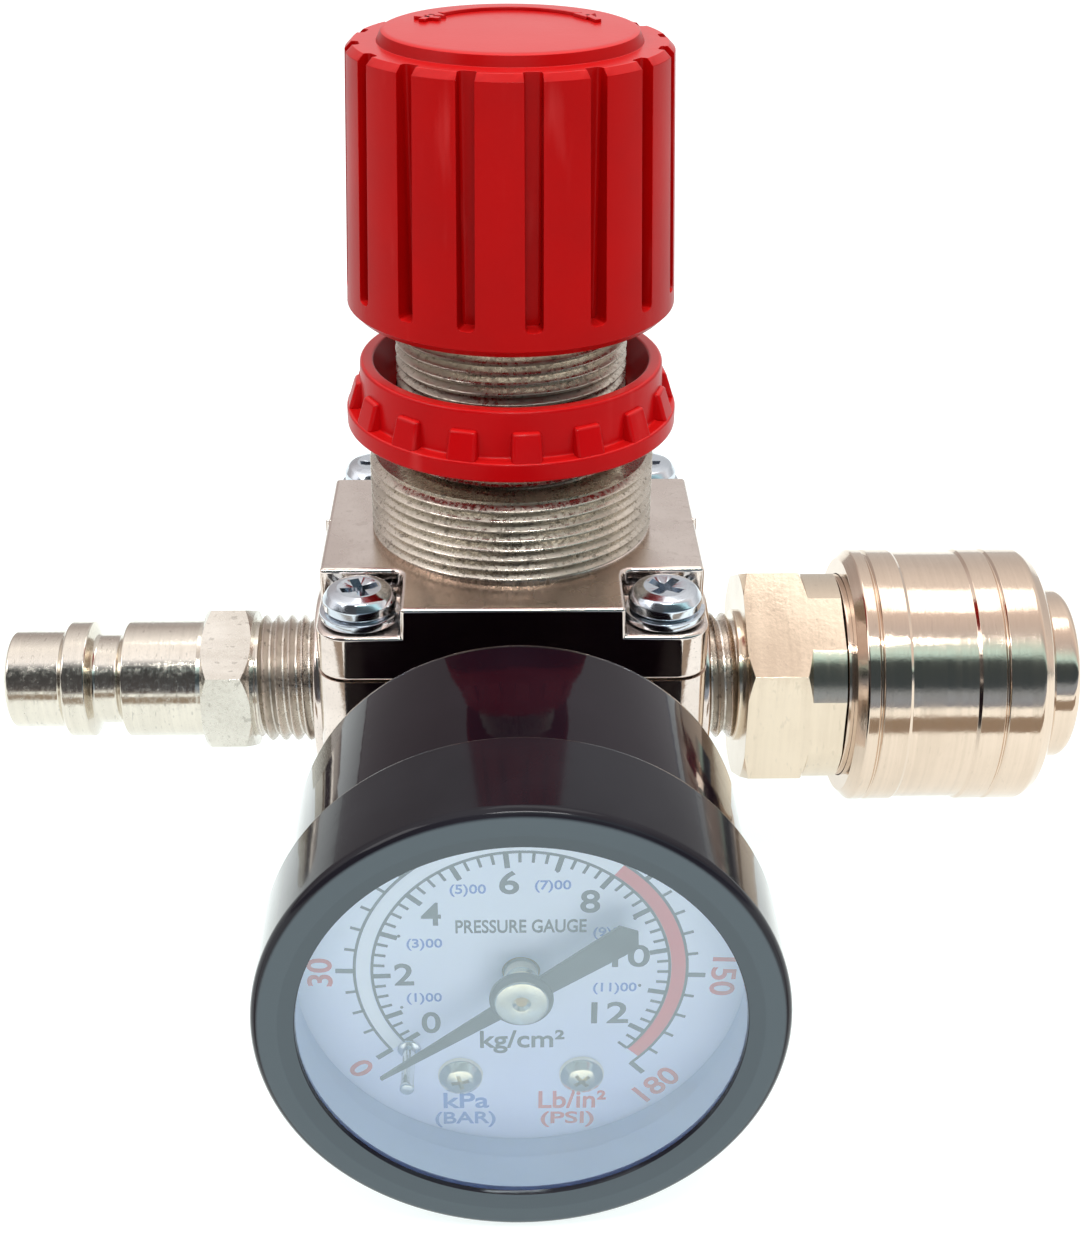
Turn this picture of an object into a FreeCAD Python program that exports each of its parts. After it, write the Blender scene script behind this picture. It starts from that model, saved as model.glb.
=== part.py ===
import FreeCAD, Part
import math
import os
import re
import Sketcher

# Plug-in gas pressure regulator: valve block with screwed bonnet, adjusting knob and lock ring, inlet plug,
# sleeve-type outlet coupler and a 40 mm back-entry pressure gauge.
# +Z is up along the knob axis, the flow runs towards +X, the gauge looks towards -Y, and the origin is the
# centre of the bottom plug's flat face.

Vector = FreeCAD.Vector
document = FreeCAD.newDocument("Regulator")

DIMENSIONS = [
    # valve block and bonnet
    ("PortHeight", 21.5, "port and gauge axis above the bottom face"),
    ("FlangeHalf", 18.4, "half width of the square block and flange"),
    ("CornerRadius", 3.0, "rounded upright corners of the block and flange"),
    ("PartingHeight", 31.9, "joint face between block and bonnet"),
    ("CornerFloor", 36.65, "floor of the four screw recesses"),
    ("FlangeTop", 39.6, "top of the raised cross of the bonnet"),
    ("ArmHalf", 10.4, "half width of the raised cross"),
    ("ScrewOffset", 14.3, "bonnet screws from the knob axis along X and Y"),
    ("ScrewRadius", 2.0, "M4 bonnet screw"),
    ("ScrewHeadRadius", 3.45, "pan head"),
    ("WasherThick", 1.0, "spring washer"),
    ("ScrewHeadHeight", 2.5, "pan head"),
    ("PanelRadius", 13.86, "M28x1 panel thread on the bonnet, major diameter"),
    ("PanelTop", 47.92, "upper end of the panel thread"),
    ("NeckRadius", 11.0, "M22x1 neck thread, major diameter"),
    ("NeckTop", 76.5, "upper end of the neck"),
    ("NeckBore", 9.2, "spring bore in the neck"),
    ("BlockBottom", 8.0, "lower face of the square block"),
    ("BossBottom", 4.0, "lower face of the round bottom boss"),
    ("BossRadius", 13.0, "round bottom boss"),
    ("PortFace", 20.0, "side bosses end this far from the knob axis"),
    ("PortBossRadius", 9.6, "side bosses"),
    ("PortThread", 6.58, "G 1/4 thread, major radius"),
    ("PortDepth", 10.5, "port bores end this far from the knob axis"),
    ("GaugeThread", 4.86, "G 1/8 thread, major radius"),
    ("PassageRadius", 2.0, "drilled gas passages"),
    ("ChamberRadius", 7.0, "valve chamber"),
    ("SeatLevel", 20.0, "chamber ceiling"),
    ("LipLevel", 19.4, "valve seat lip"),
    ("SeatHole", 2.6, "hole through the valve seat"),
    ("OutletRadius", 6.0, "outlet chamber above the seat"),
    ("DiaphragmRadius", 16.6, "rubber diaphragm"),
    ("DiaphragmFloor", 31.1, "lower face of the diaphragm"),
    ("DiaphragmRoom", 13.2, "free radius under and over the diaphragm"),
    ("PlateTop", 33.1, "upper face of the diaphragm plate"),
    ("PlugThread", 9.0, "bottom plug thread, major radius"),
    ("PlugTop", 10.0, "upper end of the bottom plug"),
    ("StemRadius", 1.25, "valve stem"),
    ("TailRadius", 2.0, "valve tail in the bottom plug"),
    # knob and lock ring
    ("KnobBottom", 62.45, "lower rim of the knob"),
    ("KnobShoulder", 86.4, "top edge of the grip"),
    ("KnobTop", 87.45, "raised disc on the knob"),
    ("KnobLowRadius", 15.3, "grip at the lower rim"),
    ("KnobHighRadius", 14.47, "grip at the top edge"),
    ("KnobDisc", 11.34, "raised disc on the knob"),
    ("KnobThread", 11.06, "thread bore of knob and lock ring"),
    ("KnobCeiling", 83.5, "inner ceiling of the knob"),
    ("GrooveDepth", 1.2, "grip grooves of the knob"),
    ("GrooveWidth", 1.65, "grip grooves of the knob"),
    ("GrooveBottom", 64.8, "lower end of the grip grooves"),
    ("ThrustHeight", 78.5, "contact of knob and spring seat"),
    ("SeatDiscTop", 71.5, "upper face of the spring seat disc"),
    ("SeatDiscBottom", 69.0, "lower face of the spring seat disc"),
    ("RingBottom", 50.97, "lower face of the lock ring"),
    ("RingFlangeTop", 52.83, "upper face of the lock ring flange"),
    ("RingTop", 57.28, "upper rim of the lock ring"),
    ("RingRadius", 14.4, "lock ring"),
    ("RingFlangeRadius", 15.81, "lock ring flange"),
    ("ToothWidth", 3.4, "finger teeth of the lock ring"),
    ("ToothTop", 55.4, "finger teeth of the lock ring"),
    # inlet plug, distances from the knob axis
    ("ThreadInner", 12.0, "inner end of both G 1/4 stubs"),
    ("PlugTip", 51.9, "end of the inlet plug"),
    ("TipRadius", 5.0, "sealing tip"),
    ("CollarRadius", 6.0, "locking collar and shank"),
    ("LockGroove", 4.6, "bottom of the locking groove"),
    ("FlowBore", 3.6, "7.2 mm flow bore"),
    ("PlugHex", 14.0, "across flats"),
    # outlet coupler, distances from the knob axis
    ("CouplerHex", 21.0, "across flats"),
    ("HexStart", 23.5, "coupler hexagon"),
    ("HexEnd", 29.3, "coupler hexagon"),
    ("AdapterFace", 30.2, "face between adapter and barrel"),
    ("SpigotRadius", 8.4, "screwed spigot inside the barrel"),
    ("SpigotEnd", 33.6, "inner end of the spigot"),
    ("BarrelRadius", 10.6, "rear guide of the sleeve"),
    ("BarrelStep", 36.3, "end of the rear guide"),
    ("NoseRadius", 8.8, "front part of the barrel"),
    ("NoseEnd", 57.7, "mouth of the coupler"),
    ("SocketRadius", 6.1, "socket for the mating plug"),
    ("SocketStep", 51.6, "the socket is 0.3 wider behind this, round the balls"),
    ("SocketFloor", 45.4, "floor of the wide socket"),
    ("TipBore", 5.1, "bore for the mating plug's tip"),
    ("ValveFace", 38.2, "seat of the shut-off valve"),
    ("BallPlane", 49.6, "plane of the locking balls"),
    ("BallRadius", 1.75, "locking ball"),
    ("BallCircle", 7.1, "ball centres from the coupler axis"),
    ("SleeveStart", 34.2, "rear edge of the sleeve"),
    ("SleeveEnd", 54.4, "front edge of the sleeve"),
    ("SleeveRadius", 13.15, "outside of the sleeve"),
    ("SleeveBore", 10.68, "rear bore of the sleeve"),
    ("SleeveLand", 8.88, "land that holds the balls in"),
    ("LandStart", 46.9, "rear end of the land"),
    ("LandEnd", 49.0, "front end of the land"),
    ("RampSlope", 0.2333, "ball ramp, radius per length"),
    ("BandStart", 39.55, "recessed grip band"),
    ("BandEnd", 46.2, "recessed grip band"),
    # gauge, distances forward of the knob axis
    ("GaugeOffset", 0.4, "gauge axis sideways of the knob axis"),
    ("StemInner", 11.5, "inner end of the gauge stem"),
    ("GaugeHexStart", 20.0, "stem hexagon"),
    ("GaugeHexEnd", 26.0, "stem hexagon"),
    ("GaugeHex", 12.0, "across flats"),
    ("CaseRear", 27.1, "rear face of the case"),
    ("CaseFloor", 27.9, "inside of the rear wall"),
    ("CaseRadius", 20.0, "outside of the case"),
    ("CaseInner", 19.2, "inside of the case"),
    ("CaseFront", 52.5, "front edge of the case"),
    ("WindowRear", 53.0, "rear face of the window"),
    ("WindowFront", 54.1, "front face of the window"),
    ("BezelRear", 44.4, "rear edge of the bezel"),
    ("BezelFront", 54.87, "front face of the bezel"),
    ("BezelRadius", 21.36, "outside of the bezel"),
    ("BezelOpening", 17.8, "opening of the bezel"),
    ("DialRadius", 18.9, "dial"),
    ("DialRear", 47.0, "rear face of the dial"),
    ("DialFace", 47.4, "front face of the dial"),
    ("DialScrewSide", 5.15, "dial screws sideways of the gauge axis"),
    ("DialScrewDrop", 11.1, "dial screws below the gauge axis"),
    ("PointerRear", 50.45, "rear face of the pointer"),
    ("PointerFront", 50.75, "front face of the pointer"),
    ("PointerReach", 14.4, "pointer tip from the gauge axis"),
    ("PointerTail", 10.5, "pointer tail from the gauge axis"),
    ("StopPinRadius", 0.6, "pin the pointer rests on"),
    ("ArborRadius", 0.6, "pointer arbor and sector arbor"),
    ("PivotHole", 0.65, "arbor holes of the movement plates"),
    ("PinionRadius", 1.2, "pinion pitch radius"),
    ("SectorRadius", 6.6, "sector pitch radius"),
    ("BackPlateTop", 35.8, "movement back plate"),
    ("BlockFront", 35.0, "socket block inside the case"),
    ("FrontPlateRear", 44.0, "movement front plate"),
    ("FrontPlateFront", 44.8, "movement front plate"),
    ("TubeMean", 14.5, "Bourdon tube mean radius"),
]

sheet = document.addObject("Spreadsheet::Sheet", "Dims")
for row, (alias, size, meaning) in enumerate(DIMENSIONS, start=1):
    sheet.set("A%d" % row, meaning)
    sheet.set("B%d" % row, str(size))
    sheet.setAlias("B%d" % row, alias)
document.recompute()

SIZES = {alias: size for alias, size, meaning in DIMENSIONS}
pieces = []


def bound(text):
    """Expression on the sheet: 'NeckRadius - 1' becomes 'Dims.NeckRadius - 1'."""
    return re.sub(r"[A-Z][A-Za-z]+", lambda word: "Dims." + word.group(0), str(text))


def length(text):
    """Present value of a dimension expression."""
    return float(sheet.evalExpression(bound(text)))


def seat(turn, height="0", side="0"):
    """Where a piece drawn about its own Z axis sits: its turn, height and sideways place."""
    return {"turn": turn, "height": height, "side": side}


UPRIGHT = seat(FreeCAD.Rotation())
OUTLET = seat(FreeCAD.Rotation(Vector(0, 1, 0), 90), "PortHeight")
INLET = seat(FreeCAD.Rotation(Vector(0, 1, 0), -90), "PortHeight")
GAUGE = seat(FreeCAD.Rotation(Vector(1, 0, 0), 90), "PortHeight", "GaugeOffset")
REAR = seat(FreeCAD.Rotation(Vector(1, 0, 0), -90), "PortHeight")


def place(piece, where, spin=0):
    """Put a piece on its seat, after a spin about its own axis, and keep it in the list of pieces."""
    piece.Placement = FreeCAD.Placement(Vector(), where["turn"] * FreeCAD.Rotation(Vector(0, 0, 1), spin))
    piece.setExpression("Placement.Base.x", bound(where["side"]))
    piece.setExpression("Placement.Base.z", bound(where["height"]))
    pieces.append(piece)


def new_body(label, where=UPRIGHT, spin=0):
    body = document.addObject("PartDesign::Body", label)
    place(body, where, spin)
    return body


def origin_feature(body, role):
    return {feature.Role: feature for feature in body.Origin.OriginFeatures}[role]


def outline(body, plane, corners, at=("0", "0")):
    """Closed polygon sketch whose corners are pairs of dimension expressions."""
    sketch = body.newObject("Sketcher::SketchObject", body.Label + "_outline")
    sketch.AttachmentSupport = [(origin_feature(body, plane), "")]
    sketch.MapMode = "FlatFace"
    spots = [Vector(length(across), length(along), 0) for across, along in corners]
    count = len(spots)
    sides = [Part.LineSegment(spots[i], spots[(i + 1) % count]) for i in range(count)]
    sketch.addGeometry(sides, False)
    for i in range(count):
        sketch.addConstraint(Sketcher.Constraint("Coincident", i, 2, (i + 1) % count, 1))
    for i, (across, along) in enumerate(corners):
        for kind, text, now in (("DistanceX", across, spots[i].x), ("DistanceY", along, spots[i].y)):
            number = sketch.addConstraint(Sketcher.Constraint(kind, -1, 1, i, 1, now))
            sketch.setExpression("Constraints[%d]" % number, bound(text))
    if plane == "XZ_Plane":
        sketch.setExpression("AttachmentOffset.Base.x", bound(at[0]))
        sketch.setExpression("AttachmentOffset.Base.z", bound("-(%s)" % at[1]))
    return sketch


def add_turned(body, corners, kind="Revolution", at=("0", "0"), angle=360):
    """Turn an outline of (radius, height) corners about the body's axis, or about one beside it."""
    feature = body.newObject("PartDesign::" + kind, body.Label + "_turn")
    feature.Profile = outline(body, "XZ_Plane", corners, at)
    feature.ReferenceAxis = (feature.Profile[0], ["V_Axis"])
    feature.Angle = angle
    return feature


def turned(label, corners, where=UPRIGHT, spin=0, at=("0", "0")):
    body = new_body(label, where, spin)
    add_turned(body, corners, at=at)
    return body


def disc(label, radius, low, high, bore=None, where=UPRIGHT):
    """Plain disc, or ring when it has a bore."""
    inner = bore or "0"
    return turned(label, [(inner, low), (radius, low), (radius, high), (inner, high)], where)


def add_box(body, kind, size, corner, spin=0):
    """Add or cut a box with its low corner at the given place, turned about Z through that corner."""
    box = body.newObject("PartDesign::%sBox" % kind, body.Label + "_box")
    box.Placement = FreeCAD.Placement(Vector(), FreeCAD.Rotation(Vector(0, 0, 1), spin))
    for name, text in zip(("Length", "Width", "Height"), size):
        box.setExpression(name, bound(text))
    for name, text in zip("xyz", corner):
        box.setExpression("Placement.Base." + name, bound(text))
    return box


def add_rod(body, kind, radius, reach, start, turn=FreeCAD.Rotation()):
    """Add or cut a cylinder that runs from start along its turned Z axis."""
    rod = body.newObject("PartDesign::%sCylinder" % kind, body.Label + "_rod")
    rod.Placement = FreeCAD.Placement(Vector(), turn)
    rod.setExpression("Radius", bound(radius))
    rod.setExpression("Height", bound(reach))
    for name, text in zip("xyz", start):
        rod.setExpression("Placement.Base." + name, bound(text))
    return rod


def repeat_round(body, feature, count):
    """Repeat a feature evenly round the body's axis."""
    pattern = body.newObject("PartDesign::PolarPattern", body.Label + "_round")
    pattern.Originals = [feature]
    pattern.Axis = (origin_feature(body, "Z_Axis"), [""])
    pattern.Angle = 360
    pattern.Occurrences = count
    body.Tip = pattern
    return pattern


def cut_flats(body, across, start, end, count=6):
    """Mill spanner flats on a turned shoulder."""
    flat = add_box(body, "Subtractive", ("20", "60", "(%s) - (%s)" % (end, start)),
                   ("%s / 2" % across, "-30", start))
    repeat_round(body, flat, count)


def coil(label, mean, wire, low, high, turns, where=UPRIGHT):
    """Open coil spring of round wire that fills the height between its two seats."""
    body = new_body(label, where)
    sketch = body.newObject("Sketcher::SketchObject", label + "_wire")
    sketch.AttachmentSupport = [(origin_feature(body, "XZ_Plane"), "")]
    sketch.MapMode = "FlatFace"
    sketch.addGeometry(Part.Circle(Vector(mean, length(low) + wire, 0), Vector(0, 0, 1), wire), False)
    sketch.addConstraint(Sketcher.Constraint("DistanceX", -1, 1, 0, 3, mean))
    lift = sketch.addConstraint(Sketcher.Constraint("DistanceY", -1, 1, 0, 3, length(low) + wire))
    sketch.setExpression("Constraints[%d]" % lift, bound("%s + %s" % (low, wire)))
    sketch.addConstraint(Sketcher.Constraint("Radius", 0, wire))
    spring = body.newObject("PartDesign::AdditiveHelix", label + "_coil")
    spring.Profile = sketch
    spring.ReferenceAxis = (sketch, ["V_Axis"])
    spring.Mode = "height-turns-angle"
    spring.Turns = turns
    spring.setExpression("Height", bound("(%s) - (%s) - %s" % (high, low, 2 * wire + 0.1)))
    return body


def seal_ring(label, mean, wire, level, where=UPRIGHT):
    """O-ring."""
    ring = document.addObject("Part::Torus", label)
    ring.Radius1 = mean
    ring.Radius2 = wire
    at_level = where["turn"].multVec(Vector(0, 0, length(level)))
    ring.Placement = FreeCAD.Placement(at_level + Vector(0, 0, length(where["height"])), where["turn"])
    pieces.append(ring)
    return ring


def rounded_block(body, half, low, high):
    """Square pad with rounded upright corners."""
    corners = [("-" + half, "-" + half), (half, "-" + half), (half, half), ("-" + half, half)]
    sketch = outline(body, "XY_Plane", corners)
    sketch.setExpression("AttachmentOffset.Base.z", bound(low))
    pad = body.newObject("PartDesign::Pad", body.Label + "_pad")
    pad.Profile = sketch
    pad.setExpression("Length", bound("%s - %s" % (high, low)))
    document.recompute()
    uprights = ["Edge%d" % number for number, edge in enumerate(pad.Shape.Edges, start=1)
                if abs(edge.tangentAt(edge.FirstParameter).z) > 0.99]
    fillet = body.newObject("PartDesign::Fillet", body.Label + "_corners")
    fillet.Base = (pad, uprights)
    fillet.setExpression("Radius", bound("CornerRadius"))
    body.Tip = fillet


# ---- valve block: seat in the middle, inlet from -X below it, outlet to +X above it ------------------------

ALONG_X = FreeCAD.Rotation(Vector(0, 1, 0), 90)
ALONG_Y = FreeCAD.Rotation(Vector(1, 0, 0), -90)


def make_valve_body():
    body = new_body("valve_body")
    rounded_block(body, "FlangeHalf", "BlockBottom", "PartingHeight")
    add_rod(body, "Additive", "BossRadius", "BlockBottom - BossBottom + 1", ("0", "0", "BossBottom"))
    add_rod(body, "Additive", "PortBossRadius", "2 * PortFace", ("-PortFace", "0", "PortHeight"), ALONG_X)
    add_turned(body, [
        ("0", "BossBottom - 1"), ("10.8", "BossBottom - 1"), ("10.8", "BossBottom + 1.6"),
        ("PlugThread", "BossBottom + 1.6"), ("PlugThread", "PlugTop + 0.5"),
        ("ChamberRadius", "PlugTop + 0.5"), ("ChamberRadius", "SeatLevel"),
        ("SeatHole + 0.9", "SeatLevel"), ("SeatHole + 0.5", "LipLevel"), ("SeatHole", "LipLevel"),
        ("SeatHole", "SeatLevel + 3"), ("OutletRadius", "SeatLevel + 3"),
        ("OutletRadius", "DiaphragmFloor - 1.6"), ("DiaphragmRoom", "DiaphragmFloor - 1.6"),
        ("DiaphragmRoom", "DiaphragmFloor"), ("DiaphragmRadius", "DiaphragmFloor"),
        ("DiaphragmRadius", "PartingHeight + 1"), ("0", "PartingHeight + 1"),
    ], "Groove")
    for side in ("-PortFace", "PortDepth"):
        add_rod(body, "Subtractive", "PortThread", "PortFace - PortDepth", (side, "0", "PortHeight"), ALONG_X)
    for side in ("-FlangeHalf", "PortDepth"):
        add_rod(body, "Subtractive", "GaugeThread", "FlangeHalf - PortDepth", ("GaugeOffset", side, "PortHeight"),
                ALONG_Y)
    add_rod(body, "Subtractive", "PassageRadius", "PortDepth - 5", ("-PortDepth", "0", "PortHeight - 4"), ALONG_X)
    add_rod(body, "Subtractive", "PassageRadius", "PortDepth - 5", ("5", "0", "PortHeight + 4"), ALONG_X)
    add_rod(body, "Subtractive", "PassageRadius / 2", "PortDepth - 5", ("0", "-PortDepth", "PortHeight + 3.5"),
            ALONG_Y)
    hole = add_rod(body, "Subtractive", "ScrewRadius", "12", ("ScrewOffset", "ScrewOffset", "PartingHeight - 12"))
    repeat_round(body, hole, 4)


def make_bonnet():
    body = new_body("bonnet")
    rounded_block(body, "FlangeHalf", "PartingHeight", "FlangeTop")
    add_turned(body, [
        ("0", "FlangeTop - 2"), ("PanelRadius", "FlangeTop - 2"), ("PanelRadius", "PanelTop - 0.4"),
        ("PanelRadius - 0.4", "PanelTop"), ("NeckRadius", "PanelTop"), ("NeckRadius", "NeckTop - 0.5"),
        ("NeckRadius - 0.5", "NeckTop"), ("0", "NeckTop"),
    ])
    recess = add_box(body, "Subtractive", ("FlangeHalf", "FlangeHalf", "FlangeTop"),
                     ("ArmHalf", "ArmHalf", "CornerFloor"))
    repeat_round(body, recess, 4)
    add_turned(body, [
        ("0", "PartingHeight - 1"), ("DiaphragmRoom", "PartingHeight - 1"),
        ("DiaphragmRoom", "PlateTop + 1.4"), ("NeckBore", "FlangeTop + 1"),
        ("NeckBore", "NeckTop + 1"), ("0", "NeckTop + 1"),
    ], "Groove")
    hole = add_rod(body, "Subtractive", "ScrewRadius + 0.2", "20",
                   ("ScrewOffset", "ScrewOffset", "PartingHeight - 1"))
    repeat_round(body, hole, 4)
    add_rod(body, "Subtractive", "0.6", "FlangeHalf - 10", ("0", "-FlangeHalf", "PlateTop + 0.6"), ALONG_Y)


def make_bonnet_fasteners():
    corner = ("ScrewOffset", "ScrewOffset")
    under = "CornerFloor + WasherThick"
    screws = new_body("bonnet_screws")
    screw = add_turned(screws, [
        ("0", "PartingHeight - 10"), ("ScrewRadius", "PartingHeight - 10"), ("ScrewRadius", under),
        ("ScrewHeadRadius - 0.2", under), ("ScrewHeadRadius", under + " + 0.9"),
        ("ScrewHeadRadius - 0.5", under + " + 1.7"), ("ScrewHeadRadius - 1.7", under + " + ScrewHeadHeight"),
        ("0", under + " + ScrewHeadHeight"),
    ], at=corner)
    repeat_round(screws, screw, 4)
    for spin in (0, 90):
        slot = add_box(screws, "Subtractive", ("3.8", "0.9", "1.6"),
                       ("ScrewOffset - 1.9", "ScrewOffset - 0.45", under + " + 1"))
        if spin:
            slot.Placement = FreeCAD.Placement(Vector(), FreeCAD.Rotation(Vector(0, 0, 1), spin))
            slot.setExpression("Placement.Base.x", bound("ScrewOffset + 0.45"))
            slot.setExpression("Placement.Base.y", bound("ScrewOffset - 1.9"))
        repeat_round(screws, slot, 4)
    washers = new_body("spring_washers")
    washer = add_turned(washers, [
        ("ScrewRadius + 0.15", "CornerFloor"), ("ScrewHeadRadius - 0.1", "CornerFloor"),
        ("ScrewHeadRadius - 0.1", under), ("ScrewRadius + 0.15", under),
    ], at=corner)
    repeat_round(washers, washer, 4)
    split = add_box(washers, "Subtractive", ("0.6", "2", "WasherThick + 2"),
                    ("ScrewOffset - 0.3", "ScrewOffset + 1.8", "CornerFloor - 1"))
    repeat_round(washers, split, 4)


# ---- pressure-sensing stack and valve ----------------------------------------------------------------------

def make_valve_parts():
    disc("diaphragm", "DiaphragmRadius", "DiaphragmFloor", "PartingHeight", "2.3")
    disc("diaphragm_plate", "11", "PartingHeight", "PlateTop", "2.2")
    turned("relief_seat", [
        ("0.8", "DiaphragmFloor - 1"), ("3.5", "DiaphragmFloor - 1"), ("3.5", "DiaphragmFloor"),
        ("2.2", "DiaphragmFloor"), ("2.2", "PlateTop"), ("3", "PlateTop"), ("2.7", "PlateTop + 0.6"),
        ("0.8", "PlateTop + 0.6"),
    ])
    turned("valve_poppet", [
        ("0", "6"), ("TailRadius", "6"), ("TailRadius", "LipLevel - 3.6"), ("4.6", "LipLevel - 3.6"),
        ("4.6", "LipLevel - 1.4"), ("StemRadius", "LipLevel - 1.4"), ("StemRadius", "DiaphragmFloor - 1.4"),
        ("StemRadius - 0.4", "DiaphragmFloor - 1"), ("0", "DiaphragmFloor - 1"),
    ])
    disc("poppet_seal", "4.4", "LipLevel - 1.4", "LipLevel", "StemRadius")
    coil("poppet_spring", 3.3, 0.35, "PlugTop", "LipLevel - 3.6", 4)
    plug = turned("bottom_plug", [
        ("0", "0"), ("10.6", "0"), ("11.4", "0.8"), ("11.4", "BossBottom"), ("PlugThread", "BossBottom"),
        ("PlugThread", "PlugTop - 0.5"), ("PlugThread - 0.5", "PlugTop"),
        ("TailRadius + 0.08", "PlugTop"), ("TailRadius + 0.08", "3.5"), ("0", "3.5"),
    ])
    for side in ("-6.5", "6.5"):
        add_rod(plug, "Subtractive", "1.3", "2.1", (side, "0", "-0.1"))
    seal_ring("bottom_seal", 9.9, 0.8, "BossBottom + 0.8")
    rear_plug = turned("rear_port_plug", [
        ("0", "PortDepth + 1.5"), ("GaugeThread - 0.6", "PortDepth + 1.5"), ("GaugeThread", "PortDepth + 2.1"),
        ("GaugeThread", "FlangeHalf - 0.4"), ("GaugeThread - 0.4", "FlangeHalf"), ("0", "FlangeHalf"),
    ], seat(REAR["turn"], "PortHeight", "GaugeOffset"))
    prism = rear_plug.newObject("PartDesign::SubtractivePrism", "rear_port_plug_socket")
    prism.Polygon = 6
    prism.Circumradius = 2.5 / math.cos(math.pi / 6)
    prism.Height = 6
    prism.setExpression("Placement.Base.z", bound("FlangeHalf - 4"))


# ---- adjusting knob, spring and lock ring ------------------------------------------------------------------

def make_adjuster():
    coil("range_spring", 7.2, 0.9, "PlateTop", "SeatDiscBottom", 8)
    turned("spring_seat", [
        ("0", "SeatDiscBottom - 2"), ("5.6", "SeatDiscBottom - 2"), ("6", "SeatDiscBottom"),
        ("NeckBore - 0.3", "SeatDiscBottom"), ("NeckBore - 0.3", "SeatDiscTop"), ("3.5", "SeatDiscTop"),
        ("3.5", "ThrustHeight - 1"), ("1.5", "ThrustHeight"), ("0", "ThrustHeight"),
    ])
    knob = turned("knob", [
        ("KnobThread", "KnobBottom"), ("KnobLowRadius - 0.7", "KnobBottom"),
        ("KnobLowRadius", "KnobBottom + 0.7"), ("KnobHighRadius", "KnobShoulder - 0.6"),
        ("KnobHighRadius - 0.6", "KnobShoulder"), ("KnobDisc + 0.4", "KnobShoulder"),
        ("KnobDisc", "KnobTop"), ("0", "KnobTop"), ("0", "ThrustHeight"), ("4.5", "ThrustHeight"),
        ("4.5", "KnobCeiling"), ("KnobThread", "KnobCeiling"),
    ], spin=7.3)
    groove = add_box(knob, "Subtractive", ("5", "GrooveWidth", "30"),
                     ("KnobHighRadius - GrooveDepth", "-GrooveWidth / 2", "GrooveBottom"))
    repeat_round(knob, groove, 16)
    ring = turned("lock_ring", [
        ("KnobThread", "RingBottom"), ("RingFlangeRadius - 0.3", "RingBottom"),
        ("RingFlangeRadius", "RingBottom + 0.3"), ("RingFlangeRadius", "RingFlangeTop"),
        ("RingRadius + 0.2", "RingFlangeTop"), ("RingRadius", "RingTop - 0.3"),
        ("RingRadius - 0.3", "RingTop"), ("RingRadius - 1.2", "RingTop"),
        ("KnobThread + 0.8", "RingTop - 2.2"), ("KnobThread", "RingTop - 2.8"),
    ], spin=5)
    tooth = ring.newObject("PartDesign::AdditiveWedge", "lock_ring_tooth")
    tooth.Placement = FreeCAD.Placement(Vector(), FreeCAD.Rotation(Vector(1, 0, 0), 90))
    for name, text in (("Xmin", "RingRadius - 1"), ("Xmax", "RingFlangeRadius - 0.15"),
                       ("X2min", "RingRadius - 1"), ("X2max", "RingRadius + 0.3"),
                       ("Ymin", "RingFlangeTop - 0.3"), ("Ymax", "ToothTop"),
                       ("Zmin", "-ToothWidth / 2"), ("Zmax", "ToothWidth / 2"),
                       ("Z2min", "-ToothWidth / 2"), ("Z2max", "ToothWidth / 2")):
        tooth.setExpression(name, bound(text))
    repeat_round(ring, tooth, 16)


# ---- inlet plug --------------------------------------------------------------------------------------------

def make_inlet_plug():
    plug = turned("plug_nipple", [
        ("FlowBore", "ThreadInner"), ("PortThread - 0.8", "ThreadInner"), ("PortThread", "ThreadInner + 0.8"),
        ("PortThread", "26"), ("6", "26.1"), ("6", "26.6"), ("7.1", "26.6"), ("8.08", "27.1"),
        ("8.08", "31.1"), ("7.1", "31.6"), ("CollarRadius", "32.2"), ("CollarRadius", "39.8"),
        ("LockGroove", "40.5"), ("LockGroove", "43"), ("CollarRadius", "43.5"), ("CollarRadius", "45.8"),
        ("TipRadius", "46.4"), ("TipRadius", "PlugTip - 0.5"), ("TipRadius - 0.7", "PlugTip"),
        ("FlowBore", "PlugTip"),
    ], INLET, spin=25)
    cut_flats(plug, "PlugHex", "26.6", "31.6")


# ---- outlet coupler ----------------------------------------------------------------------------------------

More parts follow.
